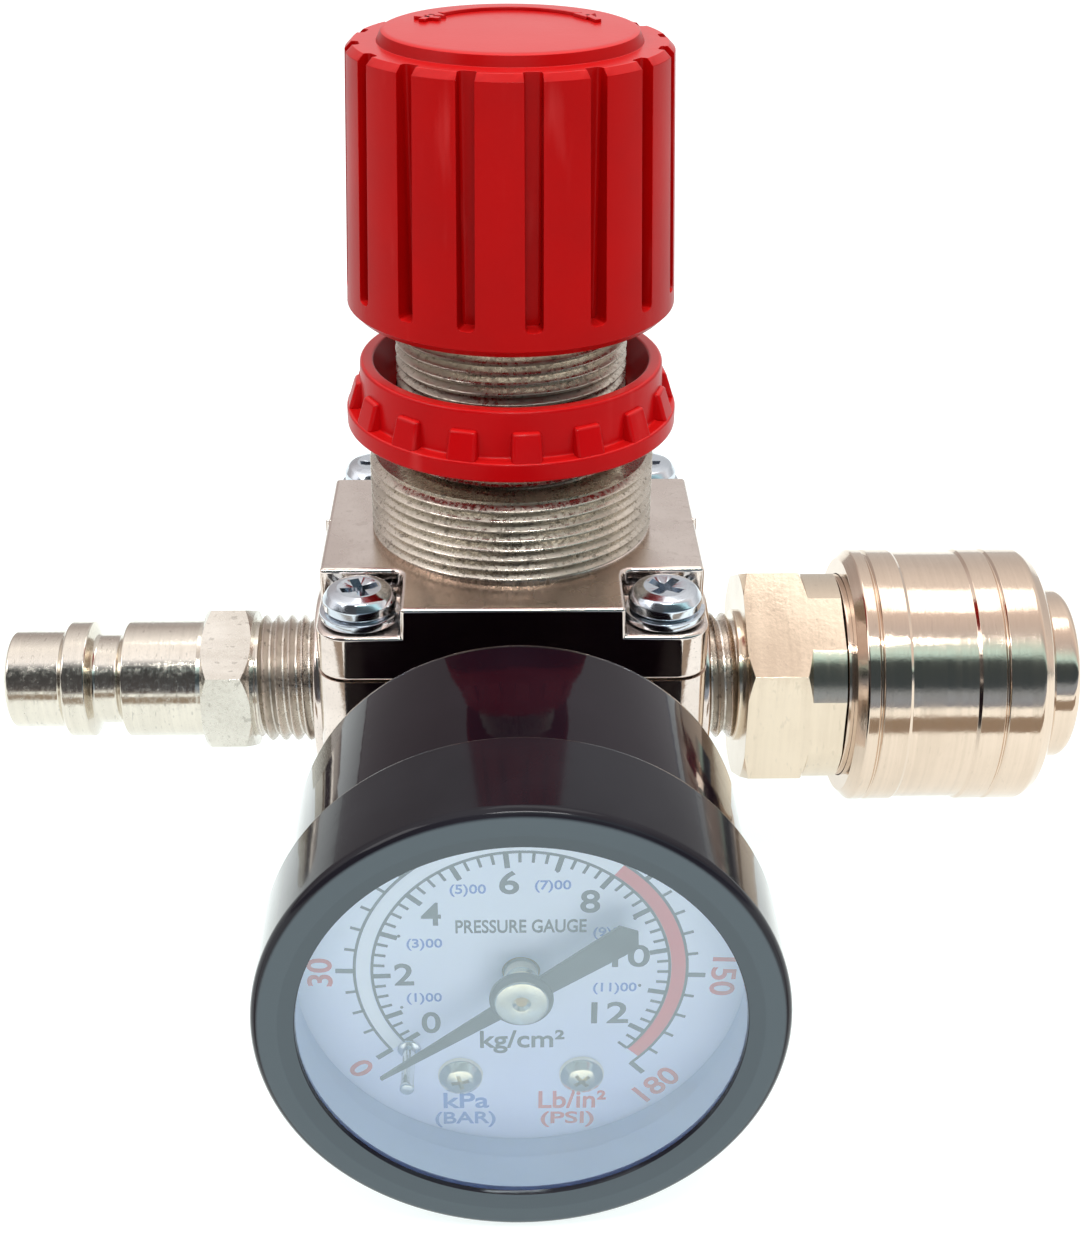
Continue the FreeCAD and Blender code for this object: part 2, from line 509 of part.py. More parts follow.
def make_coupler():
    adapter = turned("coupler_adapter", [
        ("4", "ThreadInner"), ("PortThread - 0.8", "ThreadInner"), ("PortThread", "ThreadInner + 0.8"),
        ("PortThread", "HexStart"), ("10.8", "HexStart"), ("12.12", "HexStart + 0.7"),
        ("12.12", "HexEnd - 0.7"), ("10.8", "HexEnd"), ("10.3", "HexEnd"), ("10.3", "AdapterFace"),
        ("SpigotRadius", "AdapterFace"), ("SpigotRadius", "SpigotEnd"), ("5.8", "SpigotEnd"),
        ("5.8", "HexStart + 0.5"), ("4", "HexStart + 0.5"),
    ], OUTLET, spin=28.5)
    cut_flats(adapter, "CouplerHex", "HexStart", "HexEnd")
    barrel = turned("coupler_barrel", [
        ("SpigotRadius", "AdapterFace"), ("BarrelRadius - 0.3", "AdapterFace"),
        ("BarrelRadius", "AdapterFace + 0.3"), ("BarrelRadius", "BarrelStep"), ("NoseRadius", "BarrelStep"),
        ("NoseRadius", "52.2"), ("NoseRadius - 0.5", "52.2"), ("NoseRadius - 0.5", "53"),
        ("NoseRadius", "53"), ("NoseRadius", "NoseEnd - 0.9"), ("NoseRadius - 0.3", "NoseEnd - 0.3"),
        ("NoseRadius - 0.9", "NoseEnd"), ("SocketRadius + 0.8", "NoseEnd"), ("SocketRadius", "NoseEnd - 0.8"),
        ("SocketRadius", "SocketStep"), ("SocketRadius + 0.3", "SocketStep"),
        ("SocketRadius + 0.3", "SocketFloor"), ("TipBore", "SocketFloor - 0.6"), ("TipBore", "43.8"),
        ("6.6", "43.8"), ("6.6", "42"), ("TipBore", "42"), ("TipBore", "ValveFace"),
        ("6.9", "ValveFace"), ("6.9", "SpigotEnd"), ("SpigotRadius", "SpigotEnd"),
    ], OUTLET)
    hole = add_rod(barrel, "Subtractive", "BallRadius + 0.05", "NoseRadius + 1", ("0", "0", "BallPlane"), ALONG_X)
    repeat_round(barrel, hole, 6)
    turned("coupler_sleeve", [
        ("SleeveBore", "SleeveStart"), ("SleeveRadius - 0.95", "SleeveStart"),
        ("SleeveRadius", "SleeveStart + 0.95"), ("SleeveRadius", "36.3"), ("SleeveRadius - 0.25", "36.5"),
        ("SleeveRadius", "36.7"), ("SleeveRadius", "BandStart - 0.2"), ("SleeveRadius - 0.2", "BandStart"),
        ("SleeveRadius - 0.2", "BandEnd"), ("SleeveRadius", "BandEnd + 0.2"), ("SleeveRadius", "48.8"),
        ("SleeveRadius - 0.25", "49"), ("SleeveRadius", "49.2"), ("SleeveRadius", "52.5"),
        ("SleeveRadius - 0.8", "53.6"), ("SleeveRadius - 1.9", "54.2"), ("SleeveRadius - 2.6", "SleeveEnd"),
        ("SleeveLand + RampSlope * (SleeveEnd - LandEnd)", "SleeveEnd"), ("SleeveLand", "LandEnd"),
        ("SleeveLand", "LandStart"), ("SleeveBore", "LandStart"),
    ], OUTLET)
    coil("sleeve_spring", 9.75, 0.4, "BarrelStep", "LandStart", 4, OUTLET)
    snap = disc("sleeve_stop_ring", "NoseRadius + 0.65", "52.2", "53", "NoseRadius - 0.5", OUTLET)
    add_box(snap, "Subtractive", ("4", "2.4", "4"), ("-11", "-1.2", "51"))
    for number in range(6):
        ball = document.addObject("Part::Sphere", "locking_ball_%d" % (number + 1))
        ball.setExpression("Radius", bound("BallRadius"))
        turn = math.radians(90 - 60 * number)
        ball.setExpression("Placement.Base.x", bound("BallPlane"))
        ball.setExpression("Placement.Base.y", bound("BallCircle * %.9f" % math.cos(turn)))
        ball.setExpression("Placement.Base.z", bound("PortHeight + BallCircle * %.9f" % math.sin(turn)))
        pieces.append(ball)
    valve = turned("coupler_valve", [
        ("0", "30"), ("2.5", "30"), ("2.5", "ValveFace - 2"), ("6.3", "ValveFace - 2"),
        ("6.3", "ValveFace - 1"), ("4.6", "ValveFace - 1"), ("4.6", "41.5"), ("4.1", "42"), ("3", "42"),
        ("3", "ValveFace"), ("0", "ValveFace"),
    ], OUTLET)
    window = add_rod(valve, "Subtractive", "1.1", "9", ("0", "0", "40"), ALONG_X)
    repeat_round(valve, window, 4)
    disc("coupler_valve_seal", "6.3", "ValveFace - 1", "ValveFace", "4.6", OUTLET)
    coil("coupler_valve_spring", 4.5, 0.4, "HexStart + 0.5", "ValveFace - 2", 6, OUTLET)
    seal_ring("plug_seal", 5.75, 0.85, "42.9", OUTLET)


# ---- gauge -------------------------------------------------------------------------------------------------

def make_gauge_housing():
    stem = turned("gauge_stem", [
        ("1.2", "StemInner"), ("GaugeThread - 0.6", "StemInner"), ("GaugeThread", "StemInner + 0.6"),
        ("GaugeThread", "GaugeHexStart"), ("6.2", "GaugeHexStart"), ("6.93", "GaugeHexStart + 0.5"),
        ("6.93", "GaugeHexEnd - 0.5"), ("6.2", "GaugeHexEnd"), ("5.6", "GaugeHexEnd"), ("5.6", "CaseRear"),
        ("4.5", "CaseRear"), ("4.5", "BlockFront - 1"), ("1.2", "BlockFront - 1"),
    ], GAUGE)
    cut_flats(stem, "GaugeHex", "GaugeHexStart", "GaugeHexEnd")
    add_box(stem, "Additive", ("10", "22", "BlockFront - CaseFloor"), ("-5", "-17", "CaseFloor"))
    add_box(stem, "Additive", ("10", "4.2", "8.5"), ("-5", "-17", "BlockFront - 0.5"))
    for side in (-3.2, 3.2):
        add_rod(stem, "Subtractive", "0.9", "5", (str(side), "-12.5", "CaseFloor - 0.1"))
        add_rod(stem, "Subtractive", "0.8", "4.5", (str(side * 0.8), "-8.6" if side < 0 else "2.6",
                                                    "BlockFront - 4"))
    case = turned("gauge_case", [
        ("4.6", "CaseRear"), ("CaseRadius - 1.4", "CaseRear"), ("CaseRadius", "CaseRear + 1.4"),
        ("CaseRadius", "CaseFront"), ("CaseInner", "CaseFront"), ("CaseInner", "CaseFloor + 0.8"),
        ("CaseInner - 0.8", "CaseFloor"), ("4.6", "CaseFloor"),
    ], GAUGE)
    screws = new_body("case_screws", GAUGE)
    for side in ("-3.2", "3.2"):
        add_rod(case, "Subtractive", "0.95", "3", (side, "-12.5", "CaseRear - 1"))
        add_turned(screws, [
            ("0", "CaseRear - 1.1"), ("0.9", "CaseRear - 1.1"), ("1.7", "CaseRear - 0.5"), ("1.7", "CaseRear"),
            ("0.9", "CaseRear"), ("0.9", "CaseRear + 4.5"), ("0", "CaseRear + 4.5"),
        ], at=(side, "-12.5"))
        add_box(screws, "Subtractive", ("0.5", "4", "0.6"), ("%s - 0.25" % side, "-14.5", "CaseRear - 1.2"))
    turned("gauge_bezel", [
        ("CaseRadius + 0.02", "BezelRear"), ("BezelRadius - 0.4", "BezelRear"),
        ("BezelRadius", "BezelRear + 0.5"), ("BezelRadius", "BezelFront - 0.9"),
        ("BezelRadius - 0.9", "BezelFront"), ("BezelOpening + 0.9", "BezelFront"),
        ("BezelOpening", "BezelFront - 0.4"), ("BezelOpening", "WindowFront"),
        ("CaseRadius + 0.02", "WindowFront"),
    ], GAUGE)
    disc("window_gasket", "CaseRadius - 0.05", "CaseFront", "WindowRear", "18.4", GAUGE)
    disc("gauge_window", "CaseRadius - 0.05", "WindowRear", "WindowFront", None, GAUGE)


def make_dial():
    dial = disc("gauge_dial", "DialRadius", "DialRear", "DialFace", "1.6", GAUGE)
    posts = new_body("dial_posts", GAUGE)
    screws = new_body("dial_screws", GAUGE)
    for side in ("-DialScrewSide", "DialScrewSide"):
        spot = (side, "-DialScrewDrop")
        add_rod(dial, "Subtractive", "0.6", "2", spot + ("DialRear - 1",))
        add_turned(posts, [("0.6", "FrontPlateFront"), ("1.1", "FrontPlateFront"), ("1.1", "DialRear"),
                           ("0.6", "DialRear")], at=spot)
        add_turned(screws, [
            ("0", "FrontPlateFront + 0.1"), ("0.6", "FrontPlateFront + 0.1"), ("0.6", "DialFace"),
            ("1.95", "DialFace"), ("1.8", "DialFace + 0.5"), ("1.2", "DialFace + 0.95"),
            ("0.6", "DialFace + 1.1"), ("0", "DialFace + 1.1"),
        ], at=spot)
    add_rod(dial, "Subtractive", "0.3", "2", ("-9.4", "-8.1", "DialRear - 1"))
    turned("dial_ring", [
        ("18.6", "DialFace + 0.05"), ("19.1", "DialFace + 0.05"), ("19.1", "CaseFront - 0.05"),
        ("18.3", "CaseFront - 0.05"), ("18.3", "50"), ("18.6", "50"),
    ], GAUGE)
    turned("stop_pin", [
        ("0", "DialRear"), ("0.3", "DialRear"), ("0.3", "DialFace"), ("StopPinRadius", "DialFace"),
        ("StopPinRadius", "PointerFront + 1.4"), ("StopPinRadius - 0.2", "PointerFront + 1.6"),
        ("0", "PointerFront + 1.6"),
    ], GAUGE, at=("-9.4", "-8.1"))


def make_pointer():
    """The pointer rests 36 degrees below the left horizontal, seen from the front."""
    pointer = new_body("pointer", GAUGE, 216.1)
    sketch = outline(pointer, "XY_Plane", [
        ("PointerReach", "-0.15"), ("PointerReach", "0.15"), ("2.4", "0.85"), ("-2.4", "0.95"),
        ("-PointerTail", "1.35"), ("-PointerTail", "-1.35"), ("-2.4", "-0.95"), ("2.4", "-0.85"),
    ])
    sketch.setExpression("AttachmentOffset.Base.z", bound("PointerRear"))
    blade = pointer.newObject("PartDesign::Pad", "pointer_blade")
    blade.Profile = sketch
    blade.setExpression("Length", bound("PointerFront - PointerRear"))
    add_rod(pointer, "Additive", "2.6", "PointerFront - PointerRear", ("0", "0", "PointerRear"))
    add_rod(pointer, "Subtractive", "ArborRadius", "2", ("0", "0", "PointerRear - 1"))
    disc("pointer_bush", "2.2", "PointerFront", "PointerFront + 0.6", "ArborRadius", GAUGE)
    turned("pointer_arbor", [
        ("0", "BlockFront + 0.1"), ("ArborRadius", "BlockFront + 0.1"), ("ArborRadius", "38.5"),
        ("PinionRadius", "38.5"), ("PinionRadius", "42.4"), ("ArborRadius", "42.4"),
        ("ArborRadius", "PointerFront + 0.3"), ("0", "PointerFront + 0.3"),
    ], GAUGE)


def movement_plate(label, low, high, bottom):
    plate = new_body(label, GAUGE)
    add_box(plate, "Additive", ("14", "4.6 - (%s)" % bottom, "(%s) - (%s)" % (high, low)), ("-7", bottom, low))
    pivot_drop = "-(SectorRadius + PinionRadius)"
    for spot in (("0", "0"), ("0", pivot_drop)):
        add_rod(plate, "Subtractive", "PivotHole", "4", spot + ("%s - 1" % low,))
    return plate


def make_movement():
    back_plate = movement_plate("movement_back_plate", "BlockFront", "BackPlateTop", "-10.8")
    screws = new_body("movement_screws", GAUGE)
    for spot in (("-2.56", "-8.6"), ("2.56", "2.6")):
        add_rod(back_plate, "Subtractive", "0.8", "3", spot + ("BlockFront - 1",))
        add_turned(screws, [
            ("0", "BlockFront - 3.5"), ("0.8", "BlockFront - 3.5"), ("0.8", "BackPlateTop"),
            ("1.4", "BackPlateTop"), ("1.4", "BackPlateTop + 0.8"), ("0", "BackPlateTop + 0.8"),
        ], at=spot)
    movement_plate("movement_front_plate", "FrontPlateRear", "FrontPlateFront", "-12.7")
    pillars = new_body("movement_pillars", GAUGE)
    for side in ("-6", "6"):
        for level in ("3.5", "-10.2"):
            add_turned(pillars, [("0", "BackPlateTop"), ("0.55", "BackPlateTop"), ("0.55", "FrontPlateRear"),
                                 ("0", "FrontPlateRear")], at=(side, level))


SECTOR_LEVEL = 40.0
SECTOR_TAIL = 3.6


def make_sector():
    """Toothed sector on its own arbor below the pointer arbor, with a tail for the link."""
    drop = SIZES["SectorRadius"] + SIZES["PinionRadius"]
    reach = SIZES["SectorRadius"] - 0.05
    rest = math.radians(90 + 23.9)
    spread = math.radians(27.8)
    pivot = Vector(0, -drop, 0)

    def ray(angle, distance):
        return pivot + Vector(distance * math.cos(angle), distance * math.sin(angle), 0)

    arc = Part.Arc(ray(rest - spread, reach), ray(rest, reach), ray(rest + spread, reach)).toShape()
    outline_wire = Part.Wire([arc, Part.makeLine(ray(rest + spread, reach), ray(rest + 0.9, 1.6)),
                              Part.makeLine(ray(rest + 0.9, 1.6), ray(rest - 0.9, 1.6)),
                              Part.makeLine(ray(rest - 0.9, 1.6), ray(rest - spread, reach))])
    blade = Part.Face(outline_wire).extrude(Vector(0, 0, 1))
    tail_end = ray(rest + math.pi / 2, SECTOR_TAIL)
    hub = Part.makeCylinder(1.8, 1, pivot)
    tail = Part.makeBox(SECTOR_TAIL, 1.4, 1, Vector(0, -0.7, 0))
    tail.Placement = FreeCAD.Placement(pivot, FreeCAD.Rotation(Vector(0, 0, 1), math.degrees(rest) + 90))
    eye = Part.makeCylinder(1.0, 1, tail_end)
    arbor = Part.makeCylinder(SIZES["ArborRadius"], SIZES["FrontPlateFront"] - SIZES["BlockFront"] - 0.2,
                              pivot + Vector(0, 0, SIZES["BlockFront"] + 0.1 - SECTOR_LEVEL))
    shape = blade.fuse([hub, tail, eye, arbor]).cut(Part.makeCylinder(0.5, 3, tail_end - Vector(0, 0, 1)))
    sector = document.addObject("Part::Feature", "sector_gear")
    sector.Shape = shape.removeSplitter()
    place_movement_piece(sector)

    link_end = Vector(-13.6, -3.6, 0)
    bar = link_end - tail_end
    link_shape = Part.makeBox(bar.Length, 0.9, 0.6, Vector(0, -0.45, 0))
    link_shape.Placement = FreeCAD.Placement(tail_end, FreeCAD.Rotation(Vector(1, 0, 0), bar))
    pin = Part.makeCylinder(0.45, 1.9, Vector(0, 0, -1.4) + tail_end)
    link_shape = link_shape.fuse([Part.makeCylinder(0.8, 0.6, tail_end), Part.makeCylinder(0.8, 0.6, link_end),
                                  pin])
    link_shape = link_shape.cut(Part.makeCylinder(0.4, 3, link_end - Vector(0, 0, 1)))
    link = document.addObject("Part::Feature", "tube_link")
    link.Shape = link_shape.removeSplitter()
    place_movement_piece(link, 1.4)


def place_movement_piece(piece, lift=0.0):
    """Seat a flat piece of the gauge movement, drawn from the sector's level."""
    piece.Placement = FreeCAD.Placement(
        Vector(SIZES["GaugeOffset"], -SECTOR_LEVEL - lift, SIZES["PortHeight"]), GAUGE["turn"])
    pieces.append(piece)


def make_hairspring():
    """Flat spiral strip made of half circles that grow by one pitch a turn."""
    pitch = 0.7
    strip = 0.12
    half_turns = 8
    edges = {0: [], strip: []}
    for side, run in edges.items():
        for number in range(half_turns):
            radius = 0.75 + pitch / 2 * number + side
            centre = Vector(0 if number % 2 == 0 else pitch / 2, 0, 0)
            way = 1 if number % 2 == 0 else -1
            run.append(Part.Arc(centre + Vector(radius * way, 0, 0), centre + Vector(0, radius * way, 0),
                                centre + Vector(-radius * way, 0, 0)).toShape())
    inner, outer = edges[0], edges[strip]
    start = Part.makeLine(inner[0].Vertexes[0].Point, outer[0].Vertexes[0].Point)
    end = Part.makeLine(inner[-1].Vertexes[-1].Point, outer[-1].Vertexes[-1].Point)
    wire = Part.Wire(Part.__sortEdges__(inner + outer + [start, end]))
    spiral = document.addObject("Part::Feature", "hairspring")
    spiral.Shape = Part.Face(wire).extrude(Vector(0, 0, 0.5))
    place_movement_piece(spiral, 2.9)


def make_bourdon_tube():
    """Flattened bronze tube bent round the movement from the socket block."""
    body = new_body("bourdon_tube", GAUGE, -72)
    add_turned(body, [("TubeMean - 0.8", "BlockFront + 0.2"), ("TubeMean + 0.8", "BlockFront + 0.2"),
                      ("TubeMean + 0.8", "41"), ("TubeMean - 0.8", "41")], angle=267)
    document.recompute()


make_valve_body()
make_bonnet()
make_bonnet_fasteners()
make_valve_parts()
make_adjuster()
make_inlet_plug()
make_coupler()
make_gauge_housing()
make_dial()
make_pointer()
make_movement()
make_sector()
make_hairspring()
make_bourdon_tube()
document.recompute()

faults = [item.Label for item in document.Objects if "Invalid" in item.State or "Error" in item.State]
faults += [piece.Label for piece in pieces if piece.Shape.isNull() or not piece.Shape.isValid()]
if faults:
    raise RuntimeError("failed objects: " + ", ".join(faults))

os.makedirs("parts", exist_ok=True)
for piece in pieces:
    piece.Shape.exportStep("parts/%s.step" % piece.Label)
    print("%-24s %2d solids %10.2f mm3" % (piece.Label, len(piece.Shape.Solids), piece.Shape.Volume))
print("%d pieces" % len(pieces))
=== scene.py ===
# A small compressed-gas pressure regulator with plug-in ports: die-cast block and bonnet, red adjusting knob,
# inlet plug on the left, quick coupler on the right and a pressure gauge in front.
import math

import bpy
from mathutils import Matrix, Vector


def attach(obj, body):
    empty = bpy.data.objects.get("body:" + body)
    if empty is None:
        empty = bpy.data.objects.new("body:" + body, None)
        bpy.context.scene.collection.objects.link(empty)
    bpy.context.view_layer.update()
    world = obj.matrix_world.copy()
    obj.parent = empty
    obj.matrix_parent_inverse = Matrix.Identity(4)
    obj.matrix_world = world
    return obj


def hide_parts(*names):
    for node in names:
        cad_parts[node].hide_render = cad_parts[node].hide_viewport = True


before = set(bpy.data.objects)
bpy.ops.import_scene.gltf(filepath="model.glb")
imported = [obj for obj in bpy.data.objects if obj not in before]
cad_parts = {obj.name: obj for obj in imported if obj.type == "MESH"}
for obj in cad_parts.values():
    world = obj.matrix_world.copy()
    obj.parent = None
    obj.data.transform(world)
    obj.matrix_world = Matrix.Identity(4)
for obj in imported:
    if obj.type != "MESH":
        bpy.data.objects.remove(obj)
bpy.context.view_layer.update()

# ---- Valve block -------------------------------------------------------------------------------------------
# Square lower block with round port bosses, a zinc die casting with a thin warm nickel plating.
# Everything else screws into it; its lower face carries the round bottom plug.

PORT_HEIGHT = 21.5
FLANGE_HALF = 18.4
GAUGE_SHIFT = 0.4
UPRIGHT = Matrix.Scale(0.001, 4)
OUTLET = Matrix.Translation((0, 0, PORT_HEIGHT / 1000)) @ Matrix.Rotation(math.pi / 2, 4, "Y") @ UPRIGHT
INLET = Matrix.Translation((0, 0, PORT_HEIGHT / 1000)) @ Matrix.Rotation(-math.pi / 2, 4, "Y") @ UPRIGHT
GAUGE_AXIS = Matrix.Translation((GAUGE_SHIFT / 1000, 0, PORT_HEIGHT / 1000))
GAUGE = GAUGE_AXIS @ Matrix.Rotation(math.pi / 2, 4, "X") @ UPRIGHT
REAR = GAUGE_AXIS @ Matrix.Rotation(-math.pi / 2, 4, "X") @ UPRIGHT
FULL_TURN = 2 * math.pi


class Paint:
    """A shader socket that can be written in sums and products; every other node comes from node()."""

    def __init__(self, tree, socket=None):
        self.tree = tree
        self.socket = socket

    def node(self, kind, sockets=None, output=0, **settings):
        made = self.tree.nodes.new("ShaderNode" + kind)
        stops = settings.pop("stops", None)
        for name, value in settings.items():
            setattr(made, name, value)
        if stops:
            elements = made.color_ramp.elements
            elements[0].position, elements[0].color = stops[0]
            elements[1].position, elements[1].color = stops[-1]
            for place, colour in stops[1:-1]:
                elements.new(place).color = colour
        for key, value in (sockets or {}).items():
            if isinstance(value, Paint):
                self.tree.links.new(value.socket, made.inputs[key])
            else:
                made.inputs[key].default_value = value
        return Paint(self.tree, made.outputs[output])

    def math(self, operation, *terms):
        return self.node("Math", dict(enumerate(terms)), operation=operation)

    def __add__(self, other):
        return self.math("ADD", self, other)

    def __radd__(self, other):
        return self.math("ADD", other, self)

    def __sub__(self, other):
        return self.math("SUBTRACT", self, other)

    def __rsub__(self, other):
        return self.math("SUBTRACT", other, self)

    def __mul__(self, other):
        return self.math("MULTIPLY", self, other)

    def __rmul__(self, other):
        return self.math("MULTIPLY", other, self)

    def __truediv__(self, other):
        return self.math("DIVIDE", self, other)

    def between(self, low, high):
        """0 below low, 1 above high, smooth in between."""
        sockets = {"Value": self, "From Min": low, "From Max": high}
        return self.node("MapRange", sockets, interpolation_type="SMOOTHSTEP")

    def tint(self, first, second):
        """The first colour where this mask is 0, the second where it is 1."""
        sockets = {0: self, 6: first, 7: second}
        return self.node("Mix", sockets, output=2, data_type="RGBA")


def rgb(red, green, blue):
    return (red, green, blue, 1.0)


def new_finish(name, constants):
    """A material with one Principled shader, and the Paint that its patterns start from."""
    material = bpy.data.materials.new(name)
    material.use_nodes = True
    shader = material.node_tree.nodes["Principled BSDF"]
    for key, value in constants.items():
        shader.inputs[key].default_value = value
    return material, shader, Paint(material.node_tree)


def wire(shader, **links):
    """Links patterns to the shader's sockets; Base_Color stands for Base Color."""
    for key, value in links.items():
        value.tree.links.new(value.socket, shader.inputs[key.replace("_", " ")])


def place_on(paint, scale=(1, 1, 1)):
    """Object coordinates in metres, stretched by scale."""
    spot = paint.node("TexCoord", output="Object")
    return paint.node("Mapping", {"Vector": spot, "Scale": scale})


def grain(paint, scale, detail=3.0, stretch=(1, 1, 1), rough=0.55):
    return paint.node("TexNoise", {"Vector": place_on(paint, stretch), "Scale": scale, "Detail": detail,
                                   "Roughness": rough}, output="Fac")


def facing(paint, axis):
    """How far the surface faces along an axis, from -1 to 1."""
    return paint.node("SeparateXYZ", {"Vector": paint.node("TexCoord", output="Normal")}, output=axis)


def bumps(paint, height, strength, distance):
    return paint.node("Bump", {"Height": height, "Strength": strength, "Distance": distance})


def plated_metal(name, colour, shade, rough, pit=0.25, lines=None, line_depth=0.25, sparkle=0.0, speck=0.0,
                 satin=0.0):
    """Nickel or zinc plating: cloudy roughness, fine grain, tool lines along one axis and darker pits.
    Speck adds dark spots, and satin dulls what faces up."""
    material, shader, paint = new_finish(name, {"Metallic": 1.0})
    clouds = grain(paint, 160)
    fine = grain(paint, 2600, 2.0)
    height = fine * 0.35 + grain(paint, 620) * 0.65
    if lines:
        ridges = grain(paint, 1.0, 2.0, lines, 0.7)
        height = height * (1 - line_depth) + ridges * (line_depth * 3)
        clouds = clouds * 0.5 + ridges * 0.5
    pits = grain(paint, 2400 if lines else 900, 1.0).between(0.62, 0.74) * pit
    shaded = clouds.between(0.35, 0.65) * 0.5 + pits
    base = shaded.math("MINIMUM", shaded, 1.0).tint(rgb(*colour), rgb(*shade))
    if speck:
        spots = grain(paint, 1.0, 2.0, [max(value * 2.5, 900) for value in lines or (2900, 2900, 2900)])
        spots = spots.between(0.64, 0.70) * speck
        base = spots.tint(base, rgb(0.03, 0.02, 0.015))
    roughness = clouds.between(0.3, 0.7) * (rough[1] - rough[0]) + rough[0]
    if sparkle:
        roughness = roughness + fine.between(0.4, 0.7) * sparkle
    if satin:
        roughness = roughness + facing(paint, "Z").between(0.6, 0.9) * satin
    wire(shader, Base_Color=base, Roughness=roughness, Normal=bumps(paint, height, 0.22, 0.00006))
    return material


def alone():
    """Back in object mode with nothing selected."""
    if bpy.context.object and bpy.context.object.mode != "OBJECT":
        bpy.ops.object.mode_set(mode="OBJECT")
    bpy.ops.object.select_all(action="DESELECT")


def primitive(name, kind, **sizes):
    """Adds a mesh primitive, in millimetres, with nothing else selected."""
    alone()
    getattr(bpy.ops.mesh, "primitive_%s_add" % kind)(**sizes)
    piece = bpy.context.object
    bpy.ops.object.transform_apply(location=True, rotation=True, scale=True)
    piece.name = piece.data.name = name
    return piece


def box(name, middle, size, upright=0.0, segments=4):
    """A box round a middle point, in millimetres, with its upright edges rounded."""
    piece = primitive(name, "cube", size=1, location=middle, scale=size)
    if upright:
        edit(piece, lambda spot, way: abs(way.z) > 0.9, "EDGE")
        bpy.ops.mesh.bevel(offset=upright, segments=segments, affect="EDGES")
        bpy.ops.object.mode_set(mode="OBJECT")
    return piece


def turned_by(degrees):
    return Matrix.Rotation(math.radians(degrees), 4, "Z")


def select_only(piece):
    alone()
    piece.select_set(True)
    bpy.context.view_layer.objects.active = piece


def edit(piece, test=None, kind="FACE"):
    """Edit mode with only the faces, edges or vertices selected whose middle passes test(middle, normal)."""
    select_only(piece)
    bpy.ops.object.mode_set(mode="EDIT")
    bpy.ops.mesh.select_mode(type=kind)
    bpy.ops.mesh.select_all(action="SELECT" if test is None else "DESELECT")
    if test is None:
        return
    bpy.ops.object.mode_set(mode="OBJECT")
    mesh = piece.data
    if kind == "FACE":
        for face in mesh.polygons:
            face.select = bool(test(face.center, face.normal))
    elif kind == "EDGE":
        for edge in mesh.edges:
            first, second = (mesh.vertices[i].co for i in edge.vertices)
            edge.select = bool(test((first + second) / 2, (second - first).normalized()))
    else:
        for vertex in mesh.vertices:
            vertex.select = bool(test(vertex.co, vertex.normal))
    bpy.ops.object.mode_set(mode="EDIT")


def rounded(outline):
    """An outline of (radius, height) or (radius, height, fillet) corners with its fillets drawn in."""
    points = []
    for i, corner in enumerate(outline):
        here = Vector(corner[:2])
        fillet = corner[2] if len(corner) > 2 else 0
        if not fillet:
            points.append(here)
            continue
        before = Vector(outline[i - 1][:2]) - here
        after = Vector(outline[(i + 1) % len(outline)][:2]) - here
        half = before.angle(after) / 2
        if half > math.pi / 2 - 0.02:
            points.append(here)
            continue
        reach = min(fillet / math.tan(half), before.length * 0.48, after.length * 0.48)
        fillet = reach * math.tan(half)
        before.normalize()
        after.normalize()
        centre = here + (before + after).normalized() * fillet / math.sin(half)
        start = here + before * reach - centre
        end = here + after * reach - centre
        sweep = start.angle_signed(end)
        for step in range(6):
            turn = -sweep * step / 5
            points.append(centre + Vector((start.x * math.cos(turn) - start.y * math.sin(turn),
                                           start.x * math.sin(turn) + start.y * math.cos(turn))))
    return points


def spun(name, outline, steps=128, start=0.0, sweep=FULL_TURN, closed=True):
    """A turned shape about Z: the outline is extruded point by point, then spun."""
    piece = primitive(name, "plane", size=1)
    points = rounded(outline)
    if closed:
        points.append(points[0])
    edit(piece)
    bpy.ops.mesh.select_mode(type="VERT")
    bpy.ops.mesh.merge(type="CENTER")
    place = Vector((points[0].x * math.cos(start), points[0].x * math.sin(start), points[0].y))
    bpy.ops.transform.translate(value=place)
    for point in points[1:]:
        target = Vector((point.x * math.cos(start), point.x * math.sin(start), point.y))
        bpy.ops.mesh.extrude_region_move(TRANSFORM_OT_translate={"value": target - place})
        place = target
    bpy.ops.mesh.select_all(action="SELECT")
    bpy.ops.mesh.spin(steps=steps, angle=-sweep, center=(0, 0, 0), axis=(0, 0, 1))
    tidy_shell()
    if sweep < FULL_TURN:
        bpy.ops.mesh.select_all(action="DESELECT")
        bpy.ops.mesh.select_non_manifold(extend=False)
        bpy.ops.mesh.edge_face_add()
        tidy_shell()
    bpy.ops.object.mode_set(mode="OBJECT")
    return piece


def tidy_shell():
    """Merges doubles and turns every face outwards, in edit mode."""
    bpy.ops.mesh.select_all(action="SELECT")
    bpy.ops.mesh.remove_doubles(threshold=0.0008)
    bpy.ops.mesh.normals_make_consistent(inside=False)


def apply_modifier(piece, kind, **settings):
    select_only(piece)
    modifier = piece.modifiers.new(kind.lower(), kind)
    for key, value in settings.items():
        setattr(modifier, key, value)
    bpy.ops.object.modifier_apply(modifier=modifier.name)


def carve(piece, tool, operation="DIFFERENCE"):
    """Boolean with a tool piece, which is used up."""
    apply_modifier(piece, "BOOLEAN", object=tool, operation=operation, solver="EXACT")
    bpy.data.objects.remove(tool)


def copies(piece, places):
    """A copy of the piece at each place, each with its own mesh; the piece itself is used up."""
    twins = []
    for place in places:
        twin = piece.copy()
        twin.data = piece.data.copy()
        bpy.context.collection.objects.link(twin)
        twin.data.transform(place)
        twins.append(twin)
    bpy.data.objects.remove(piece)
    return twins


